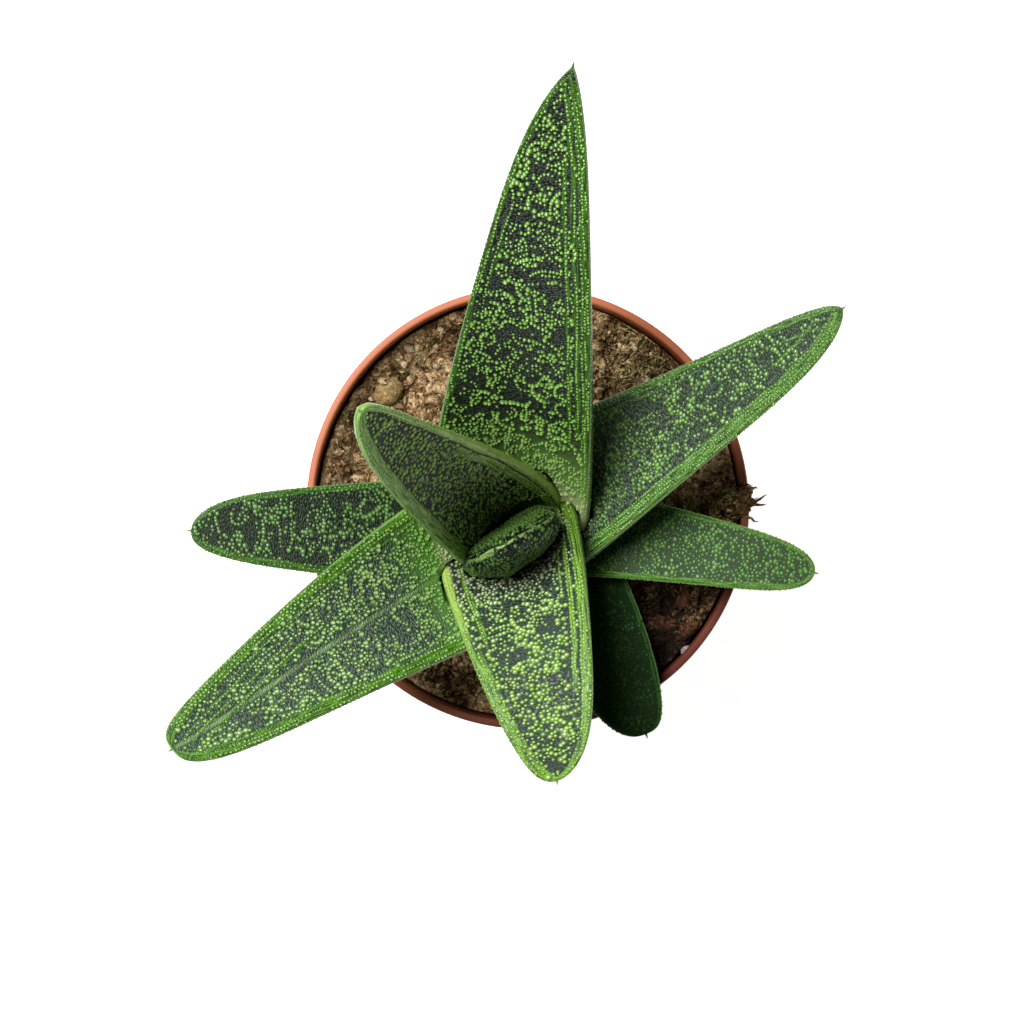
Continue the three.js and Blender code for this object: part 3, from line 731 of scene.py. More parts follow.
# Bands: the margin that they follow, from how far in to how far, and along which part of the leaf.
# Dots: rows of small warts, each with its margin, how far in, spacing and part of the leaf.
# Above and below: the other warts, to a square millimetre of each face. Chains: how many of them
# start a chain. Radius, height and wide: their size, and how much wider than long they are. Room:
# how near to another one may stand, where it isn't the usual distance. Bare: how much of the face
# has hardly any. Field: the shades of the skin's hollows and grains, whose paler grains are painted
# glints. Band: of the bands' lines. Wart: of a wart's side and top, whose paler top is partly its
# own colour and partly a painted glint. Skin: its roughness, the depth of its grain in millimetres
# and its gloss. Base: the part of the length over which the sheath's pale green fades, and glow: its
# colour where it fades. Hem and highlight: a margin's pale yellow band, the part of the length over
# which it fades and its share; on the second leaf this band is a painted highlight along the rolled
# margin. Crease: where the pale line along the middle runs. Blush: where the mauve fades that the
# warts have near the foot.
LOOKS = [
    dict(bands=[("left", -1, 0.3, 0, 1), ("right", -1, 0.5, 0, 1)],
         dots=[("right", 0.9, 1.1, 0.1, 0.97), ("left", 0.9, 1.1, 0.1, 0.97)],
         above=1.1, below=1.05, chains=0.3, radius=(0.24, 0.38), height=(0.28, 0.42), wide=1.25, bare=0.05,
         field=("#040803", "#111b0b"), band=("#5c8f36", "#b4d884"), wart=("#294518", "#84a45c"),
         skin=(0.4, 0.14, 0.5), base=(0.0, 0.2)),
    # Its hem is a painted highlight along the rolled right margin.
    dict(bands=[("right", -1, 1.3, 0, 1), ("right", 1.8, 3.5, 0, 0.6), ("left", -1, 2.7, 0, 1)],
         dots=[("right", 0.3, 0.7, 0.1, 0.98), ("right", 1.1, 1.0, 0.1, 0.98), ("right", 2.3, 0.9, 0.1, 0.6),
               ("right", 3.1, 1.0, 0.1, 0.55), ("left", 0.8, 0.9, 0.2, 0.97), ("left", 1.6, 0.9, 0.2, 0.96),
               ("left", 2.4, 0.9, 0.2, 0.95)],
         above=0.6, below=0.25, chains=0.45, radius=(0.25, 0.42), height=(0.22, 0.34), wide=1.1, bare=0.16,
         room=0.72, field=("#050706", "#171915"), band=("#42701c", "#98c65e"), wart=("#6a8e3c", "#b0c878"),
         skin=(0.42, 0.12, 0.4), base=(0.0, 0.1), hem_and_highlight=("right", 0.4, 1.2, 0.55)),
    dict(bands=[("right", -1, 1.0, 0, 1), ("right", -1, 1.6, 0, 0.5), ("right", 3.4, 4.4, 0.13, 0.52),
                ("right", 0.9, 2.7, 0.55, 1), ("left", -1, 2.1, 0, 1), ("left", 2.8, 3.9, 0, 0.74),
                ("left", 4.8, 5.3, 0.1, 0.4)],
         dots=[("right", 0.6, 1.0, 0.45, 0.97), ("right", 1.7, 0.9, 0.5, 0.95),
               ("right", 3.9, 0.8, 0.14, 0.52), ("left", 0.5, 0.7, 0.12, 0.97),
               ("left", 1.2, 0.7, 0.1, 0.95), ("left", 1.9, 0.9, 0.1, 0.95), ("left", 3.1, 0.7, 0.06, 0.74),
               ("left", 3.7, 0.8, 0.06, 0.7), ("left", 5.0, 0.9, 0.1, 0.4)],
         above=0.72, below=0.2, chains=0.7, radius=(0.23, 0.37), height=(0.26, 0.4), wide=1.25, bare=0.3,
         field=("#14271a", "#587462"), band=("#285208", "#7cb424"), wart=("#7ead3a", "#e2f0b4"),
         skin=(0.48, 0.18, 0.75), base=(0.0, 0.08), hem_and_highlight=("right", 0.2, 0.6, 0.85), blush=(0.24, 0.42)),
    dict(bands=[("right", -1, 1.8, 0, 1), ("right", 2.2, 3.2, 0.3, 1), ("right", 4.0, 4.8, 0.28, 0.85),
                ("left", -1, 1.2, 0, 1), ("left", 2.3, 2.8, 0.6, 0.74), ("left", 1.7, 2.3, 0.12, 0.3)],
         dots=[("right", 0.4, 0.7, 0.1, 0.99), ("right", 1.0, 0.7, 0.1, 0.98), ("right", 1.6, 0.9, 0.1, 0.97),
               ("right", 2.7, 0.7, 0.3, 0.97), ("right", 4.4, 0.8, 0.28, 0.85), ("left", 0.3, 0.7, 0.1, 0.98),
               ("left", 0.9, 0.8, 0.1, 0.97), ("left", 2.5, 0.8, 0.55, 0.76)],
         above=0.6, below=0.18, chains=0.5, radius=(0.25, 0.37), height=(0.28, 0.42), wide=1.05, bare=0.32,
         field=("#050f06", "#2e4a2c"), band=("#133003", "#467c08"), wart=("#5f9a1c", "#c4e286"),
         skin=(0.48, 0.22, 0.65), base=(0.1, 0.33), glow="#7fa850"),
    # Its pale grain shade is mostly a painted sheen.
    dict(bands=[("right", -1, 2.2, 0, 1), ("right", 2.8, 3.3, 0.25, 0.8), ("right", 4.0, 4.5, 0.72, 0.98),
                ("right", 5.6, 6.1, 0.66, 0.97), ("right", 7.3, 8.0, 0.58, 0.97), ("left", -1, 2.6, 0, 1),
                ("left", 3.3, 3.8, 0.12, 0.5)],
         dots=[("right", 0.5, 0.8, 0.1, 0.98), ("right", 1.2, 0.8, 0.1, 0.97), ("right", 1.9, 0.9, 0.1, 0.96),
               ("right", 3.0, 0.9, 0.25, 0.8), ("right", 4.2, 0.8, 0.7, 0.97),
               ("right", 5.8, 0.8, 0.66, 0.96), ("right", 7.6, 0.7, 0.58, 0.96),
               ("left", 0.6, 0.8, 0.1, 0.97), ("left", 1.4, 0.8, 0.1, 0.9), ("left", 2.2, 0.8, 0.1, 0.7),
               ("left", 3.5, 0.9, 0.12, 0.5)],
         above=0.58, below=0.18, chains=0.55, radius=(0.25, 0.4), height=(0.22, 0.34), wide=1.0, bare=0.34,
         field=("#2a3f2b", "#93ab90"), band=("#1e4607", "#629c20"), wart=("#70a03e", "#c8de9e"),
         skin=(0.48, 0.2, 0.75), base=(0.19, 0.38), glow="#69ab2a", crease=(0.3, 0.98)),
    dict(bands=[("right", -1, 3.0, 0, 1), ("left", -1, 1.4, 0, 1), ("left", 2.1, 2.5, 0.3, 0.65),
                ("right", 5.2, 5.7, 0.8, 0.95), ("left", 3.6, 4.1, 0.82, 0.95)],
         dots=[("right", 0.4, 0.65, 0.1, 0.97), ("right", 1.0, 0.65, 0.1, 0.97),
               ("right", 1.6, 0.65, 0.1, 0.97), ("right", 2.2, 0.65, 0.1, 0.97),
               ("right", 2.8, 0.7, 0.1, 0.97), ("left", 0.6, 0.9, 0.1, 0.97), ("left", 1.4, 1.0, 0.2, 0.7)],
         above=0.54, below=0.18, chains=0.7, radius=(0.2, 0.35), height=(0.12, 0.22), wide=1.1, bare=0.42,
         field=("#22351f", "#7a9070"), band=("#1c4307", "#66963a"), wart=("#5e9034", "#a8ca78"),
         skin=(0.44, 0.22, 0.75), base=(0.05, 0.16)),
    dict(bands=[("right", -1, 1.3, 0, 1), ("left", -1, 1.5, 0, 1)],
         dots=[("right", 0.5, 0.9, 0.1, 0.97), ("right", 1.2, 1.0, 0.1, 0.97), ("left", 0.6, 1.0, 0.1, 0.97),
               ("left", 1.3, 1.1, 0.1, 0.97)],
         above=0.6, below=0.18, chains=0.85, radius=(0.22, 0.36), height=(0.14, 0.24), wide=1.2, bare=0.42,
         field=("#12200d", "#3c5132"), band=("#1c420c", "#4f8029"), wart=("#507c34", "#94b46c"),
         skin=(0.5, 0.14, 0.5), base=(0.05, 0.16)),
    dict(bands=[("right", -1, 1.2, 0, 1), ("left", -1, 1.0, 0, 1)],
         dots=[("right", 0.5, 0.9, 0.1, 0.97), ("left", 0.5, 0.9, 0.1, 0.97)],
         above=1.0, below=0.18, chains=0.8, radius=(0.16, 0.3), height=(0.03, 0.07), wide=1.15, bare=0.44,
         field=("#2c4026", "#697f5a"), band=("#2c5614", "#66943a"), wart=("#4d7e2a", "#6f9640"),
         skin=(0.5, 0.16, 0.2), base=(0.05, 0.16)),
    dict(bands=[("right", -1, 0.7, 0, 1), ("left", -1, 0.9, 0, 1)],
         dots=[("right", 0.5, 1.2, 0.1, 0.97), ("left", 0.5, 1.2, 0.1, 0.97)],
         above=0.6, below=0.18, chains=0.5, radius=(0.2, 0.34), height=(0.04, 0.08), wide=1.0, bare=0.3,
         field=("#12280b", "#2d501e"), band=("#1b3f11", "#326020"), wart=("#193510", "#2c531d"),
         skin=(0.6, 0.08, 0.08), base=(0.05, 0.16)),
]
MIDDLE = 0.45  # where along the leaf the second width is measured
SHOULDER = 0.85  # where along the leaf the third width is measured
CUP_FADE = 3  # the power by which the curl opens along the leaf
HOOK_FROM = 10  # and that by which its tip bends sideways
CROWN = 0.2
FULLNESS = 0.8  # below 1, the section is fuller than an ellipse
THIN_TIP = 0.35  # how much thinner the leaf is at its tip
# A keel runs along the underside, a little towards the right margin, and deepens over a part of it.
KEEL_PLACE = 0.28
KEEL_WIDTH = 0.22
KEEL_FROM = (0.2, 0.6)
KEEL_DEPTH = 0.22
TIP_FULLNESS = 0.35  # the power of its width by which the leaf thins where it narrows
SPINE_STEPS = 240
# Spacing of the skin's rows, and of its columns above and below: of a leaf, and of the room that it
# needs in the older ones.
BLADE_MESH = (1.0, 0.6, 1.0)
ROOM_MESH = (2.0, 1.2, 1.6)
FEWEST_COLUMNS = 12
SECTION_STEPS = 721  # points at which the way round half a section is measured
CLOSE_ROWS = 16  # rows that draw closer over this length before the tip
CLOSE_LENGTH = 4.0
POINT_ROWS = np.array([0.2, 0.45, 0.7, 0.9])  # rows of the small point, beyond the tip
POINT_LENGTH = 1.0  # the small point at the tip, from a little inside the blade
POINT_ROOT = 0.6
POINT_HALF = 0.4
ROOM = 0.75  # an older leaf keeps this far off the younger ones that it is wrapped round
ABOVE = (0, math.pi)  # angles round the section: the right margin, the midline above, the left one
BELOW = (math.pi, 2 * math.pi)
WARTS_FROM = 0.1  # the sheath below this part of the length is smooth
WARTS_TO = 0.975
WART_ROOM = 0.58  # no two warts stand nearer than this
CREASE_ROOM = 0.75  # warts keep this far off a crease
WART_CELL = 1.2  # near ones are looked up in squares of this size, larger than any room
WART_LIFT = 0.06  # one whose foot is farther than this from the cut skin is left out
CHAIN_BEADS = (2, 10)
CHAIN_STEP = (0.62, 0.82)
BARE_PATCH = (2.4, 3.6)  # size of the nearly bare patches along and across the leaf
BARE_SKIP = 0.85  # this share of the warts drawn there is left out
DOT_RADIUS = (0.15, 0.27)
DOT_ROOM = 0.45
DOT_GAPS = 0.25  # about this share of each row is missing
DOT_WANDER = 0.16
TOOTH_SPACING = 0.9
TOOTH_SIZE = (0.09, 0.17)
TOOTH_INSET = 0.02
TOOTH_ROOM = 0.4
# Rings of a wart, from its buried foot: share of its radius, share of its height, and how far the
# colour has turned from the skin's to that of its top. Those below the leaf have one ring less.
WART_RINGS = [(1.5, -0.3, 0.0), (1.4, 0.03, 0.0), (0.9, 0.42, 0.4), (0.5, 0.86, 0.75)]
LOW_WART_RINGS = [(1.5, -0.3, 0.0), (1.4, 0.03, 0.0), (0.75, 0.65, 0.6)]
WART_SIDES = 6


def leaf_width(leaf, t):
    """Width of the flat blade: a curve through the three given widths, closed off at the tip."""
    places = [0, MIDDLE, SHOULDER]
    width = 0
    for i in range(3):
        share = leaf["width"][i]
        for j in range(3):
            if j != i:
                share = share * (t - places[j]) / (places[i] - places[j])
        width = width + share
    late, blunt = leaf["tip"]
    return width * np.maximum(1 - np.minimum(t, 1) ** late, 0) ** blunt


def leaf_spine(leaf):
    """The leaf's midline: its points, and its forward, right and upward directions at each."""
    t = np.linspace(0, 1, SPINE_STEPS + 1)
    out, right, height = leaf["start"]
    heading = math.radians(leaf["heading"])
    pitch = np.radians(between(leaf["rise"][::-1], (1 - t) ** leaf["arch"]))
    yaw = np.radians(leaf["heading"] + leaf["sweep"] * t)
    roll = np.radians(between(leaf["twist"][::-1], (1 - t) ** 2))[:, None]
    forward = np.stack([np.cos(pitch) * np.cos(yaw), np.cos(pitch) * np.sin(yaw), np.sin(pitch)], -1)
    foot = np.array([
        STEM_CENTRE[0] + out * math.cos(heading) + right * math.sin(heading),
        STEM_CENTRE[1] + out * math.sin(heading) - right * math.cos(heading),
        height])
    moves = (forward[1:] + forward[:-1]) / 2 * leaf["length"] / SPINE_STEPS
    place = foot + np.vstack([np.zeros(3), np.cumsum(moves, axis=0)])
    side = np.stack([np.sin(yaw), -np.cos(yaw), np.zeros_like(yaw)], -1)
    place = place + side * (leaf["hook"] * t ** HOOK_FROM)[:, None]
    across = side * np.cos(roll) + np.cross(side, forward) * np.sin(roll)
    return np.stack([place, forward, across, np.cross(across, forward)])


def skin_at(leaf, spine, t, angle, grow=0.0):
    """Points of the leaf's skin at parts t of its length and angles round its section."""
    t, angle = np.broadcast_arrays(np.asarray(t, float), np.asarray(angle, float))
    steps = np.linspace(0, 1, SPINE_STEPS + 1)
    inner = np.minimum(t, 1)
    place, forward, across, up = [
        np.stack([np.interp(inner, steps, spine[kind][:, axis]) for axis in range(3)], -1)
        for kind in range(4)]
    place = place + forward * ((t - inner) * leaf["length"])[..., None]
    past_root = (t - 1) * leaf["length"] + POINT_ROOT
    point = POINT_HALF * (1 - past_root / (POINT_ROOT + POINT_LENGTH + 0.05))
    half = np.maximum(leaf_width(leaf, t) / 2, np.where(past_root > 0, point, 0))
    curl = np.radians(between(leaf["cup"][::-1], (1 - inner) ** CUP_FADE))
    radius = 2 * half / curl
    closing = np.minimum((half / (max(leaf["width"]) / 2)) ** TIP_FULLNESS, 1)
    thick = leaf["thick"] * (1 - THIN_TIP * inner) * closing
    along, through = np.cos(angle), np.sin(angle)
    u = np.sign(along) * np.abs(along) ** FULLNESS
    body = np.sign(through) * np.abs(through) ** FULLNESS
    keel = np.exp(-((u - KEEL_PLACE) / KEEL_WIDTH) ** 2)
    keeled = 1 + KEEL_DEPTH * keel * smoothstep(inner, *KEEL_FROM)
    upper = np.where(body > 0, thick * leaf.get("crown", CROWN), thick * (1 - CROWN) * keeled)
    reach = body * upper + through * grow
    turn = u * (half + grow) / radius
    sideways = across * ((radius - reach) * np.sin(turn))[..., None]
    return place + sideways + up * (radius - (radius - reach) * np.cos(turn))[..., None]


def columns_for(leaf, spine, above, below):
    """Angles round the section that part its middle into steps of these lengths."""
    angles = []
    for (start, end), spacing in ((ABOVE, above), (BELOW, below)):
        fine = np.linspace(start, end, SECTION_STEPS)
        points = skin_at(leaf, spine, MIDDLE, fine)
        run = np.concatenate([[0], np.cumsum(np.linalg.norm(np.diff(points, axis=0), axis=1))])
        count = max(int(round(run[-1] / spacing)), FEWEST_COLUMNS)
        angles.append(np.interp(np.linspace(0, run[-1], count, endpoint=False), run, fine))
    return np.concatenate(angles)


def rows_for(leaf, spacing):
    """Parts of the length at which the skin has a row, closer and closer towards the tip."""
    length = leaf["length"]
    body = length - CLOSE_LENGTH
    even = np.linspace(0, body, int(round(body / spacing)), endpoint=False)
    closer = length - CLOSE_LENGTH * (1 - np.linspace(0, 1, CLOSE_ROWS)) ** 2
    return np.concatenate([even, closer, length + POINT_ROWS]) / length


def leaf_skin(leaf, spine, row_spacing, above, below, grow=0.0):
    """The closed skin of a leaf, with its rows and columns."""
    t, angle = rows_for(leaf, row_spacing), columns_for(leaf, spine, above, below)
    grid = skin_at(leaf, spine, t[:, None], angle[None, :], grow)
    heel = spine[0][0] - spine[1][0] * grow
    point = spine[0][-1] + spine[1][-1] * (POINT_LENGTH + grow)
    return skin_over_rings(grid[:, ::-1], heel, point), t, angle, grid


def from_margins(grid, angle):
    """Distances over the skin, in millimetres, from the right margin and from the left one."""
    closed = np.concatenate([grid, grid[:, :1]], axis=1)
    run = np.cumsum(np.linalg.norm(np.diff(closed, axis=1), axis=2), axis=1)
    around, run = run[:, -1:], np.concatenate([np.zeros((len(grid), 1)), run[:, :-1]], axis=1)
    left_margin = int(np.searchsorted(angle, math.pi - 1e-6))
    half_way = run[:, left_margin:left_margin + 1]
    right = np.where(angle[None, :] < math.pi - 1e-6, run, around - run)
    return right, np.abs(half_way - run)


def largest_part(points, faces):
    """The largest connected part of a mesh: its points and its faces."""
    label = np.arange(len(points))
    pairs = np.array([(face[i], face[i - 1]) for face in faces for i in range(len(face))])
    while True:
        lower = np.minimum(label[pairs[:, 0]], label[pairs[:, 1]])
        before = label.copy()
        np.minimum.at(label, pairs[:, 0], lower)
        np.minimum.at(label, pairs[:, 1], lower)
        label = label[label]
        if np.array_equal(before, label):
            break
    keep = label == np.bincount(label).argmax()
    number = np.cumsum(keep) - 1
    return points[keep], [[int(number[i]) for i in face] for face in faces if keep[face[0]]]


def mesh_arrays(mesh):
    """Points in millimetres and lists of face corners of a mesh."""
    points = np.empty(len(mesh.vertices) * 3, "f")
    mesh.vertices.foreach_get("co", points)
    return points.reshape(-1, 3).astype(float) / MM, [list(face.vertices) for face in mesh.polygons]


class Crowd:
    """Warts laid out on one face of a leaf, in millimetres along it and in from its right margin."""

    def __init__(self, leaf, spine, face, seed):
        self.leaf, self.spine, self.face = leaf, spine, face
        self.rng = np.random.default_rng(seed)
        self.cells = {}
        self.kept = []
        rows = np.linspace(0.0, 0.995, 260)
        self.angles = np.linspace(*face, 181)
        grid = skin_at(leaf, spine, rows[:, None], self.angles[None, :])
        run = np.cumsum(np.linalg.norm(np.diff(grid, axis=1), axis=2), axis=1)
        run = np.concatenate([np.zeros((len(rows), 1)), run], axis=1)
        # Below, the angle runs from the left margin to the right one.
        self.run = run if face == ABOVE else run[:, -1:] - run
        self.rows = rows

    def width(self, along):
        """Distance over this face from margin to margin."""
        return np.interp(along / self.leaf["length"], self.rows, self.run.max(axis=1))

    def free(self, along, right, room):
        """Whether no other wart stands nearer than this room."""
        for i in (-1, 0, 1):
            for j in (-1, 0, 1):
                cell = (int(along // WART_CELL) + i, int(right // WART_CELL) + j)
                for other in self.cells.get(cell, ()):
                    if math.hypot(other[0] - along, other[1] - right) < room:
                        return False
        return True

    def add(self, along, right, radius, height, wide=1.0, room=WART_ROOM, dullest=1.0):
        """Adds a wart unless another is too near or it would stand off the blade."""
        length = self.leaf["length"]
        if not WARTS_FROM * length < along < WARTS_TO * length + 1:
            return False
        if not 0 < right < self.width(along) or not self.free(along, right, room):
            return False
        cell = (int(along // WART_CELL), int(right // WART_CELL))
        self.cells.setdefault(cell, []).append((along, right))
        self.kept.append((along, right, radius, height, wide, dullest * self.rng.random()))
        return True

    def angle_at(self, along, right):
        """The angle round the section at which a wart stands."""
        t = along / self.leaf["length"]
        row = int(round(np.interp(t, self.rows, np.arange(len(self.rows)))))
        if self.face == ABOVE:
            return np.interp(right, self.run[row], self.angles)
        return np.interp(right, self.run[row][::-1], self.angles[::-1])


def lay_rows(crowd, look):
    """Rows of small warts along the margins and on the raised stripes."""
    length = crowd.leaf["length"]
    for side, inset, spacing, start, end in look["dots"]:
        along = start * length
        phase = crowd.rng.random() * 6
        while along < min(end, WARTS_TO) * length:
            inward = inset + DOT_WANDER * math.sin(along / 4 + phase) + crowd.rng.normal(0, 0.05)
            right = inward if side == "right" else crowd.width(along) - inward
            # Here and there the row breaks off for a little way.
            if inward < crowd.width(along) / 2 and noise(along / 3, phase + inset, 5) > DOT_GAPS:
                radius = between(DOT_RADIUS, crowd.rng.random())
                # These keep their pale tops, a painted glint.
                crowd.add(along, right, radius, 0.9 * radius, room=DOT_ROOM, dullest=0.5)
            along += spacing * (0.7 + 0.6 * crowd.rng.random())


def lay_field(crowd, look, density):
    """Warts over the whole face: many in short chains across the blade, the others single."""
    rng = crowd.rng
    length = crowd.leaf["length"]
    widest = float(crowd.run.max())
    area = sum(crowd.width(s) for s in np.arange(0, length, 1.0))
    wanted, tries = int(area * density), 0
    margin_bands = [band for band in look["bands"] if band[1] < 0]
    band_right = max([outer for side, _, outer, *_ in margin_bands if side == "right"])
    band_left = max([outer for side, _, outer, *_ in margin_bands if side == "left"])
    count = 0
    while count < wanted and tries < 12 * wanted:
        tries += 1
        along, right = length * rng.random(), widest * rng.random()
        bare = noise(along / BARE_PATCH[0], right / BARE_PATCH[1], 3) < look["bare"]
        in_chain = rng.random() < look["chains"]
        beads = int(rng.integers(*CHAIN_BEADS)) if in_chain else 1
        heading = rng.normal(0, 0.5) + (math.pi if rng.random() < 0.5 else 0)
        # Some chains are nearly straight, others curl up into a ring.
        bend = rng.normal(0, 0.7)
        if bare and rng.random() < BARE_SKIP:
            continue
        size = 0.75 + 0.6 * rng.random() ** 2
        room = look.get("room", WART_ROOM)
        for _ in range(beads):
            across = crowd.width(along)
            inside = band_right * 0.9 < right < across - band_left * 0.9
            if "crease" in look and crowd.face == ABOVE:
                inside = inside and abs(right - across / 2) > CREASE_ROOM
            radius = size * between(look["radius"], rng.random())
            height = size * between(look["height"], rng.random())
            if inside and crowd.add(along, right, radius, height, look["wide"], room):
                count += 1
            step = between(CHAIN_STEP, rng.random())
            right += math.cos(heading) * step * (0.7 + 0.3 * look["wide"])
            along += math.sin(heading) * step
            heading += bend


def lay_teeth(crowd):
    """Small blunt teeth along both margins."""
    length = crowd.leaf["length"]
    for margin in (0, 1):
        along = WARTS_FROM * length
        while along < WARTS_TO * length:
            right = TOOTH_INSET if margin == 0 else crowd.width(along) - TOOTH_INSET
            size = between(TOOTH_SIZE, crowd.rng.random())
            crowd.add(along, right, size, size, room=TOOTH_ROOM)
            along += TOOTH_SPACING * (0.5 + crowd.rng.random())


def footing(crowd, t, angle):
    """Where warts stand on the skin, and which way is outwards, aside and ahead at each of them."""
    leaf, spine = crowd.leaf, crowd.spine
    small = 0.02
    foot = skin_at(leaf, spine, t, angle)
    ahead = skin_at(leaf, spine, t + small / 10, angle) - foot
    aside = skin_at(leaf, spine, t, angle + small) - skin_at(leaf, spine, t, angle - small)
    aside /= np.linalg.norm(aside, axis=1, keepdims=True)
    normal = np.cross(ahead, aside)
    normal /= np.linalg.norm(normal, axis=1, keepdims=True)
    upwards = skin_at(leaf, spine, t, sum(ABOVE) / 2) - skin_at(leaf, spine, t, sum(BELOW) / 2)
    outwards = upwards if crowd.face == ABOVE else -upwards
    normal *= np.where(np.sum(normal * outwards, axis=1) < 0, -1.0, 1.0)[:, None]
    return foot, normal, aside, np.cross(normal, aside)


def domes(crowd, skin_tree):
    """The warts of a face as closed domes: their points, their faces, and by its name each value
    that the material reads at the points."""
    along, right, radius, height, wide, dull = np.array(crowd.kept).T
    profile = WART_RINGS if crowd.face == ABOVE else LOW_WART_RINGS
    angle = np.array([crowd.angle_at(s, d) for s, d in zip(along, right)])
    foot, normal, aside, ahead = footing(crowd, along / crowd.leaf["length"], angle)
    keep = np.array([
        (skin_tree.find_nearest(Vector(p * MM))[3] or 1) < WART_LIFT * MM for p in foot])
    foot, normal, aside, ahead = foot[keep], normal[keep], aside[keep], ahead[keep]
    along, right, dull = along[keep], right[keep], dull[keep]
    radius, height, wide = radius[keep], height[keep], wide[keep]
    turn = full_turn(WART_SIDES)
    rings = []
    for out, up, _ in profile:
        flat = (aside[:, None] * (np.cos(turn)[None, :, None] * wide[:, None, None])
                + ahead[:, None] * np.sin(turn)[None, :, None])
        rings.append(foot[:, None] + flat * (radius * out)[:, None, None]
                     + normal[:, None] * (height * up)[:, None, None])
    top = foot + normal * height[:, None]
    points = np.concatenate([*rings, top[:, None]], axis=1)
    side, after = np.arange(WART_SIDES), (np.arange(WART_SIDES) + 1) % WART_SIDES
    quads = np.concatenate([
        np.stack([k * WART_SIDES + side, k * WART_SIDES + after,
                  (k + 1) * WART_SIDES + after, (k + 1) * WART_SIDES + side], -1)
        for k in range(len(profile) - 1)])
    last = (len(profile) - 1) * WART_SIDES
    caps = np.stack([last + side, last + after, np.full(WART_SIDES, len(profile) * WART_SIDES)], -1)
    count, corners = points.shape[:2]
    start = np.arange(count)[:, None, None] * corners
    faces = (start + quads).reshape(-1, 4).tolist() + (start + caps).reshape(-1, 3).tolist()
    faces += (start[:, :, 0] + side[::-1]).tolist()
    rise = np.repeat([share for _, _, share in profile] + [1.0], [WART_SIDES] * len(profile) + [1])
    of_warts = {"right": right, "left": crowd.width(along) - right, "run": along, "tone": dull}
    values = {name: np.repeat(value, corners) for name, value in of_warts.items()}
    values["rise"] = np.tile(rise, count)
    return points.reshape(-1, 3), faces, values


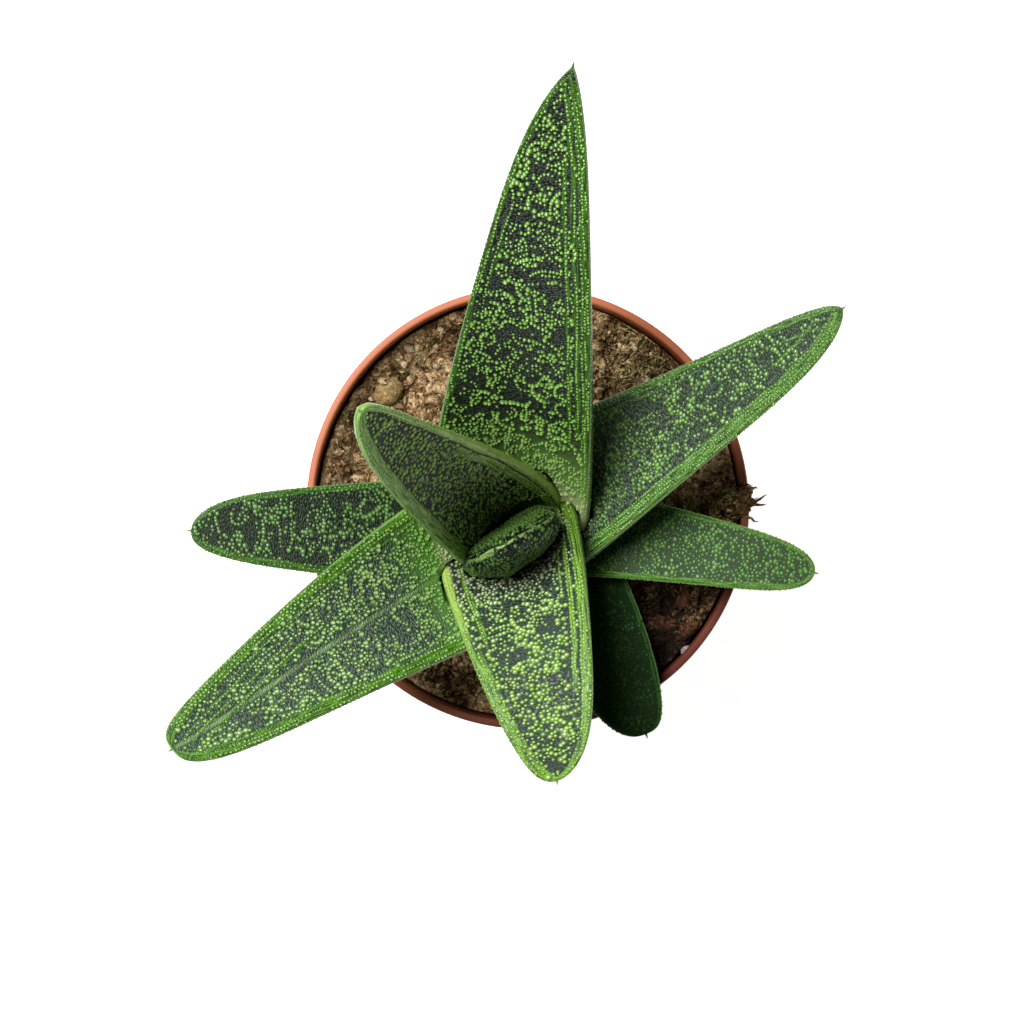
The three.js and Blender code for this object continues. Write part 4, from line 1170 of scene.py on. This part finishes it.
def leaf_material(index, leaf, look):
    """Leaf skin: nearly black green shagreen whose grains glint grey, partly by painted glints on
    paler grains, glossy green bands, and warts that are pale on top, partly by a painted glint."""
    material, tree, place = new_tree(f"warty_leaf_skin_{index + 1}")
    add = partial(add_node, tree)
    length = leaf["length"]
    right, left, run, rise, tone, pale, blush = [
        add("Attribute", {}, out=2, attribute_name=name)
        for name in ("right", "left", "run", "rise", "tone", "pale", "blush")]
    margins = {"right": right, "left": left}

    def strength(*fades):
        """The product of fades. Each is an output, a number, or an output with the two values
        between which it goes from 0 to 1, or from and to what two more values say."""
        shares = [
            add("MapRange", dict(enumerate(fade))) if isinstance(fade, tuple) else fade
            for fade in fades]
        product = shares[0]
        for share in shares[1:]:
            product = add("Math", {0: product, 1: share}, operation="MULTIPLY")
        return product

    def laid_over(under, colour, *fades):
        """A colour laid over another one as strongly as the fades say."""
        return add("MixRGB", {0: strength(*fades), 1: under, 2: colour})

    # The bands' edges wander by up to 0.3 mm over every 6 mm.
    drift = add("TexNoise", {"Vector": place, "Scale": 1 / 6, "Detail": 3.0})
    drift = strength((drift, 0.3, 0.7, -0.3, 0.3))
    band = None
    soft = 0.14
    for side, inner, outer, start, end in look["bands"]:
        inset = add("Math", {0: margins[side], 1: drift}, operation="ADD")
        fades = [(inset, inner - soft, inner + soft), (inset, outer - soft, outer + soft, 1.0, 0.0)]
        if start > 0:
            fades.append((run, start * length - 2, start * length + 2))
        if end < 1:
            fades.append((run, end * length - 3, end * length + 1, 1.0, 0.0))
        here = strength(*fades)
        band = here if band is None else add("Math", {0: band, 1: here}, operation="MAXIMUM")
    nearest = add("Math", {0: right, 1: left}, operation="MINIMUM")

    # Grains 0.7 mm wide and half as long, which is twice what they measure, so that they show.
    # About half of them are paler than the others, and the grains' pale tops are painted glints.
    flat = add("CombineXYZ", {0: right, 1: run, 2: 0.0})
    flat = add("VectorMath", {0: flat, 1: (0.7, 1.5, 0.0)}, operation="MULTIPLY")
    grains = add("TexVoronoi", {"Vector": flat, "Scale": 1 / 0.5}, voronoi_dimensions="2D")
    grain = add("SeparateColor", {"Color": grains.node.outputs["Color"]})
    cloud = add("TexNoise", {"Vector": place, "Scale": 1 / 7, "Detail": 3.0})
    grain_top = strength((grains, 0.55, 0.1))
    field = laid_over(
        linear(look["field"][0]), linear(look["field"][1]),
        grain_top, (grain, 0.5, 0.95, 0.35, 1.0), (cloud, 0.35, 0.65, 0.6, 1.0))
    field = laid_over(field, linear("#10190f"), blush, 0.5)
    if "crease" in look:
        # A pale crease 1 mm wide along the middle of the blade.
        apart = add("Math", {0: right, 1: left}, operation="SUBTRACT")
        apart = add("Math", {0: apart}, operation="ABSOLUTE")
        first, last = [share * length for share in look["crease"]]
        field = laid_over(
            field, linear("#8fb36a"),
            (apart, 0.3, 1.2, 0.8, 0.0), (cloud, 0.35, 0.6, 0.2, 1.0),
            (run, first - 12, first), (run, last, last + 2, 1.0, 0.0))
    # Fine lines run along the bands, broken here and there.
    lines = add("CombineXYZ", {0: nearest, 1: run, 2: 0.0})
    lines = add("VectorMath", {0: lines, 1: (1.0, 0.07, 0.0)}, operation="MULTIPLY")
    lines = add("TexNoise", {"Vector": lines, "Scale": 3.2, "Detail": 4.0})
    band_colour = laid_over(linear(look["band"][0]), linear(look["band"][1]), (lines, 0.38, 0.62))
    field = laid_over(field, band_colour, band, (lines, 0.3, 0.42, 0.35, 1.0))
    # The second leaf's hem is a painted highlight along its rolled margin; the third's is its own pale
    # colour.
    if "hem_and_highlight" in look:
        margin, first, last, share = look["hem_and_highlight"]
        field = laid_over(
            field, linear("#bcd868"), band,
            (run, first * length, last * length, share, 0.0), (margins[margin], 1.8, 2.4, 1.0, 0.0))
    field = laid_over(field, linear("#9db870"), (nearest, 0.0, 0.3, 0.55, 0.0))
    # A wart's side and its paler top, which is partly its own colour and partly a painted glint, then
    # the wart over the skin and the pale sheath over both.
    side = laid_over(linear(look["wart"][0]), linear(look["band"][0]), tone, 0.45)
    side = laid_over(side, linear("#7d7a66"), blush, 0.6)
    top = laid_over(linear(look["wart"][1]), linear("#cfc2b9"), blush, 0.85)
    top = laid_over(top, linear("#dfe8c8"), pale, 0.8)
    top = laid_over(top, side, (tone, 0.45, 1.0, 0.0, 0.5))
    wart = laid_over(side, top, (rise, 0.45, 1.0))
    colour = laid_over(field, wart, (rise, 0.0, 0.3))
    sheath = laid_over(linear(look.get("glow", "#558a20")), linear("#b7c487"), (pale, 0.8, 1.0))
    colour = laid_over(colour, sheath, pale, (rise, 0.3, 0.9, 0.95, 0.2))

    roughness, grain_depth, gloss = look["skin"]
    smooth = add("Math", {0: strength(band, 0.6), 1: pale}, operation="MAXIMUM")
    smooth = add("Math", {0: smooth, 1: strength((rise, 0.0, 0.3))}, operation="MAXIMUM")
    depth = strength((smooth, 0.0, 1.0, 1.0, 0.1), grain_top, (grain, 0.0, 1.0, 0.4, 1.0))
    height = add("Math", {0: depth, 1: strength(lines, band, 0.9)}, operation="ADD")
    bump = add("Bump", {"Height": height, "Strength": 1.0, "Distance": grain_depth * MM})
    # Warts and bands are glossier than the grained skin between them.
    polish = add("Math", {0: strength(band, 0.6), 1: strength((rise, 0.2, 0.6))}, operation="MAXIMUM")
    polish = strength((polish, 0.0, 1.0, roughness, 0.36 * roughness))
    finish_tree(tree, add("BsdfPrincipled", {
        "Base Color": colour, "Roughness": polish, "IOR": 1.45, "Specular IOR Level": gloss,
        "Normal": bump}))
    return material


outline = [(radius + SOIL_GAP, z) for z, radius in STEM_OUTLINE]
outline = [(0, STEM_BOTTOM - SOIL_GAP), *outline, (0, STEM_TOP + SOIL_GAP)]
room_left = [new_object("room", *turned(outline, STEM_SIDES, STEM_CENTRE))]
for index, (leaf, look) in enumerate(zip(LEAVES, LOOKS)):
    spine = leaf_spine(leaf)
    (points, quads, caps), rows, angles, grid = leaf_skin(leaf, spine, *BLADE_MESH)
    blank = new_object("blank", points, quads, caps)
    with_cut(blank, room_left)
    skin_points, skin_faces = largest_part(*mesh_arrays(blank.data))
    bpy.data.objects.remove(blank)

    # What the material reads is known on the whole skin: each point of the cut one takes it from
    # the nearest point of that.
    right, left = from_margins(grid, angles)
    tree = KDTree(grid.shape[0] * grid.shape[1])
    for number, point in enumerate(grid.reshape(-1, 3)):
        tree.insert(point, number)
    tree.balance()
    nearest = np.array([tree.find(point)[1] for point in skin_points])
    t_here = np.repeat(rows, len(angles))[nearest]
    painted = {
        "right": [right.ravel()[nearest]], "left": [left.ravel()[nearest]],
        "run": [t_here * leaf["length"]], "rise": [np.zeros(len(nearest))],
        "tone": [np.zeros(len(nearest))]}
    all_points, all_faces, start = [skin_points], list(skin_faces), len(skin_points)
    skin_tree = BVHTree.FromPolygons((skin_points * MM).tolist(), skin_faces)
    for face, density in ((ABOVE, look["above"]), (BELOW, look["below"])):
        crowd = Crowd(leaf, spine, face, 900 + 10 * index + (face == BELOW))
        if face == ABOVE:
            lay_teeth(crowd)
            lay_rows(crowd, look)
        lay_field(crowd, look, density)
        dome_points, dome_faces, values = domes(crowd, skin_tree)
        all_points.append(dome_points)
        all_faces.extend([[corner + start for corner in corners] for corners in dome_faces])
        start += len(dome_points)
        for name in painted:
            painted[name].append(values[name])
    piece = new_object(f"gasteria_leaf_{index + 1}", np.vstack(all_points), all_faces)
    for name, values in painted.items():
        paint(piece.data, name, np.concatenate(values))
    part = np.concatenate(painted["run"]) / leaf["length"]
    paint(piece.data, "pale", 1 - smoothstep(part, *look["base"]))
    blushing = 1 - smoothstep(part, *look["blush"]) if "blush" in look else np.zeros_like(part)
    paint(piece.data, "blush", blushing)
    settle(piece, leaf_material(index, leaf, look), "leaf_skin", f"leaf_{index + 1}")
    (points, quads, caps), *_ = leaf_skin(leaf, spine, *ROOM_MESH, ROOM)
    room_left.append(new_object("room", points, quads, caps))
for cutter in room_left:
    bpy.data.objects.remove(cutter)

# ---- Floor, light and camera ---------------------------------------------------------------------
# A plain pale floor, one large soft light high up on the left and a faint even white sky. The
# camera looks straight down on the plant. Sizes and places here are in metres.

FLOOR_SIZE = 6.0
SKY = 0.05
KEY_SIZE = 0.7
KEY_POWER = 20
KEY_PLACE = (-0.471, 0.33, 1.08)
KEY_AIM = (0, 0, 0.08)
CAMERA = (-0.00301, -0.00081, 0.8)
SENSOR = 36.0
LENS = 133.8

corner = FLOOR_SIZE / 2
mesh = bpy.data.meshes.new("floor")
mesh.from_pydata(
    [(-corner, -corner, 0), (corner, -corner, 0), (corner, corner, 0), (-corner, corner, 0)],
    [], [(0, 1, 2, 3)])
floor = placed("floor", mesh)
material, tree, place = new_tree("pale_studio_paper")
finish_tree(tree, add_node(tree, "BsdfPrincipled", {
    "Base Color": linear("#f4f4f4"), "Roughness": 0.9,
    "Emission Color": linear("#ffffff"), "Emission Strength": 0.95}))
mesh.materials.append(material)

world = bpy.data.worlds.new("studio")
world.use_nodes = True
world.node_tree.nodes["Background"].inputs["Color"].default_value = linear("#ffffff")
world.node_tree.nodes["Background"].inputs["Strength"].default_value = SKY
bpy.context.scene.world = world

key = bpy.data.lights.new("key", "AREA")
key.shape = "DISK"
key.size = KEY_SIZE
key.energy = KEY_POWER
key_light = placed("key", key)
key_light.location = KEY_PLACE
towards = Vector(KEY_AIM) - key_light.location
key_light.rotation_euler = towards.to_track_quat("-Z", "Y").to_euler()

camera_data = bpy.data.cameras.new("camera")
camera_data.sensor_width = SENSOR
camera_data.lens = LENS
camera = placed("camera", camera_data)
camera.location = CAMERA
bpy.context.scene.camera = camera
bpy.context.scene.view_settings.view_transform = "Standard"
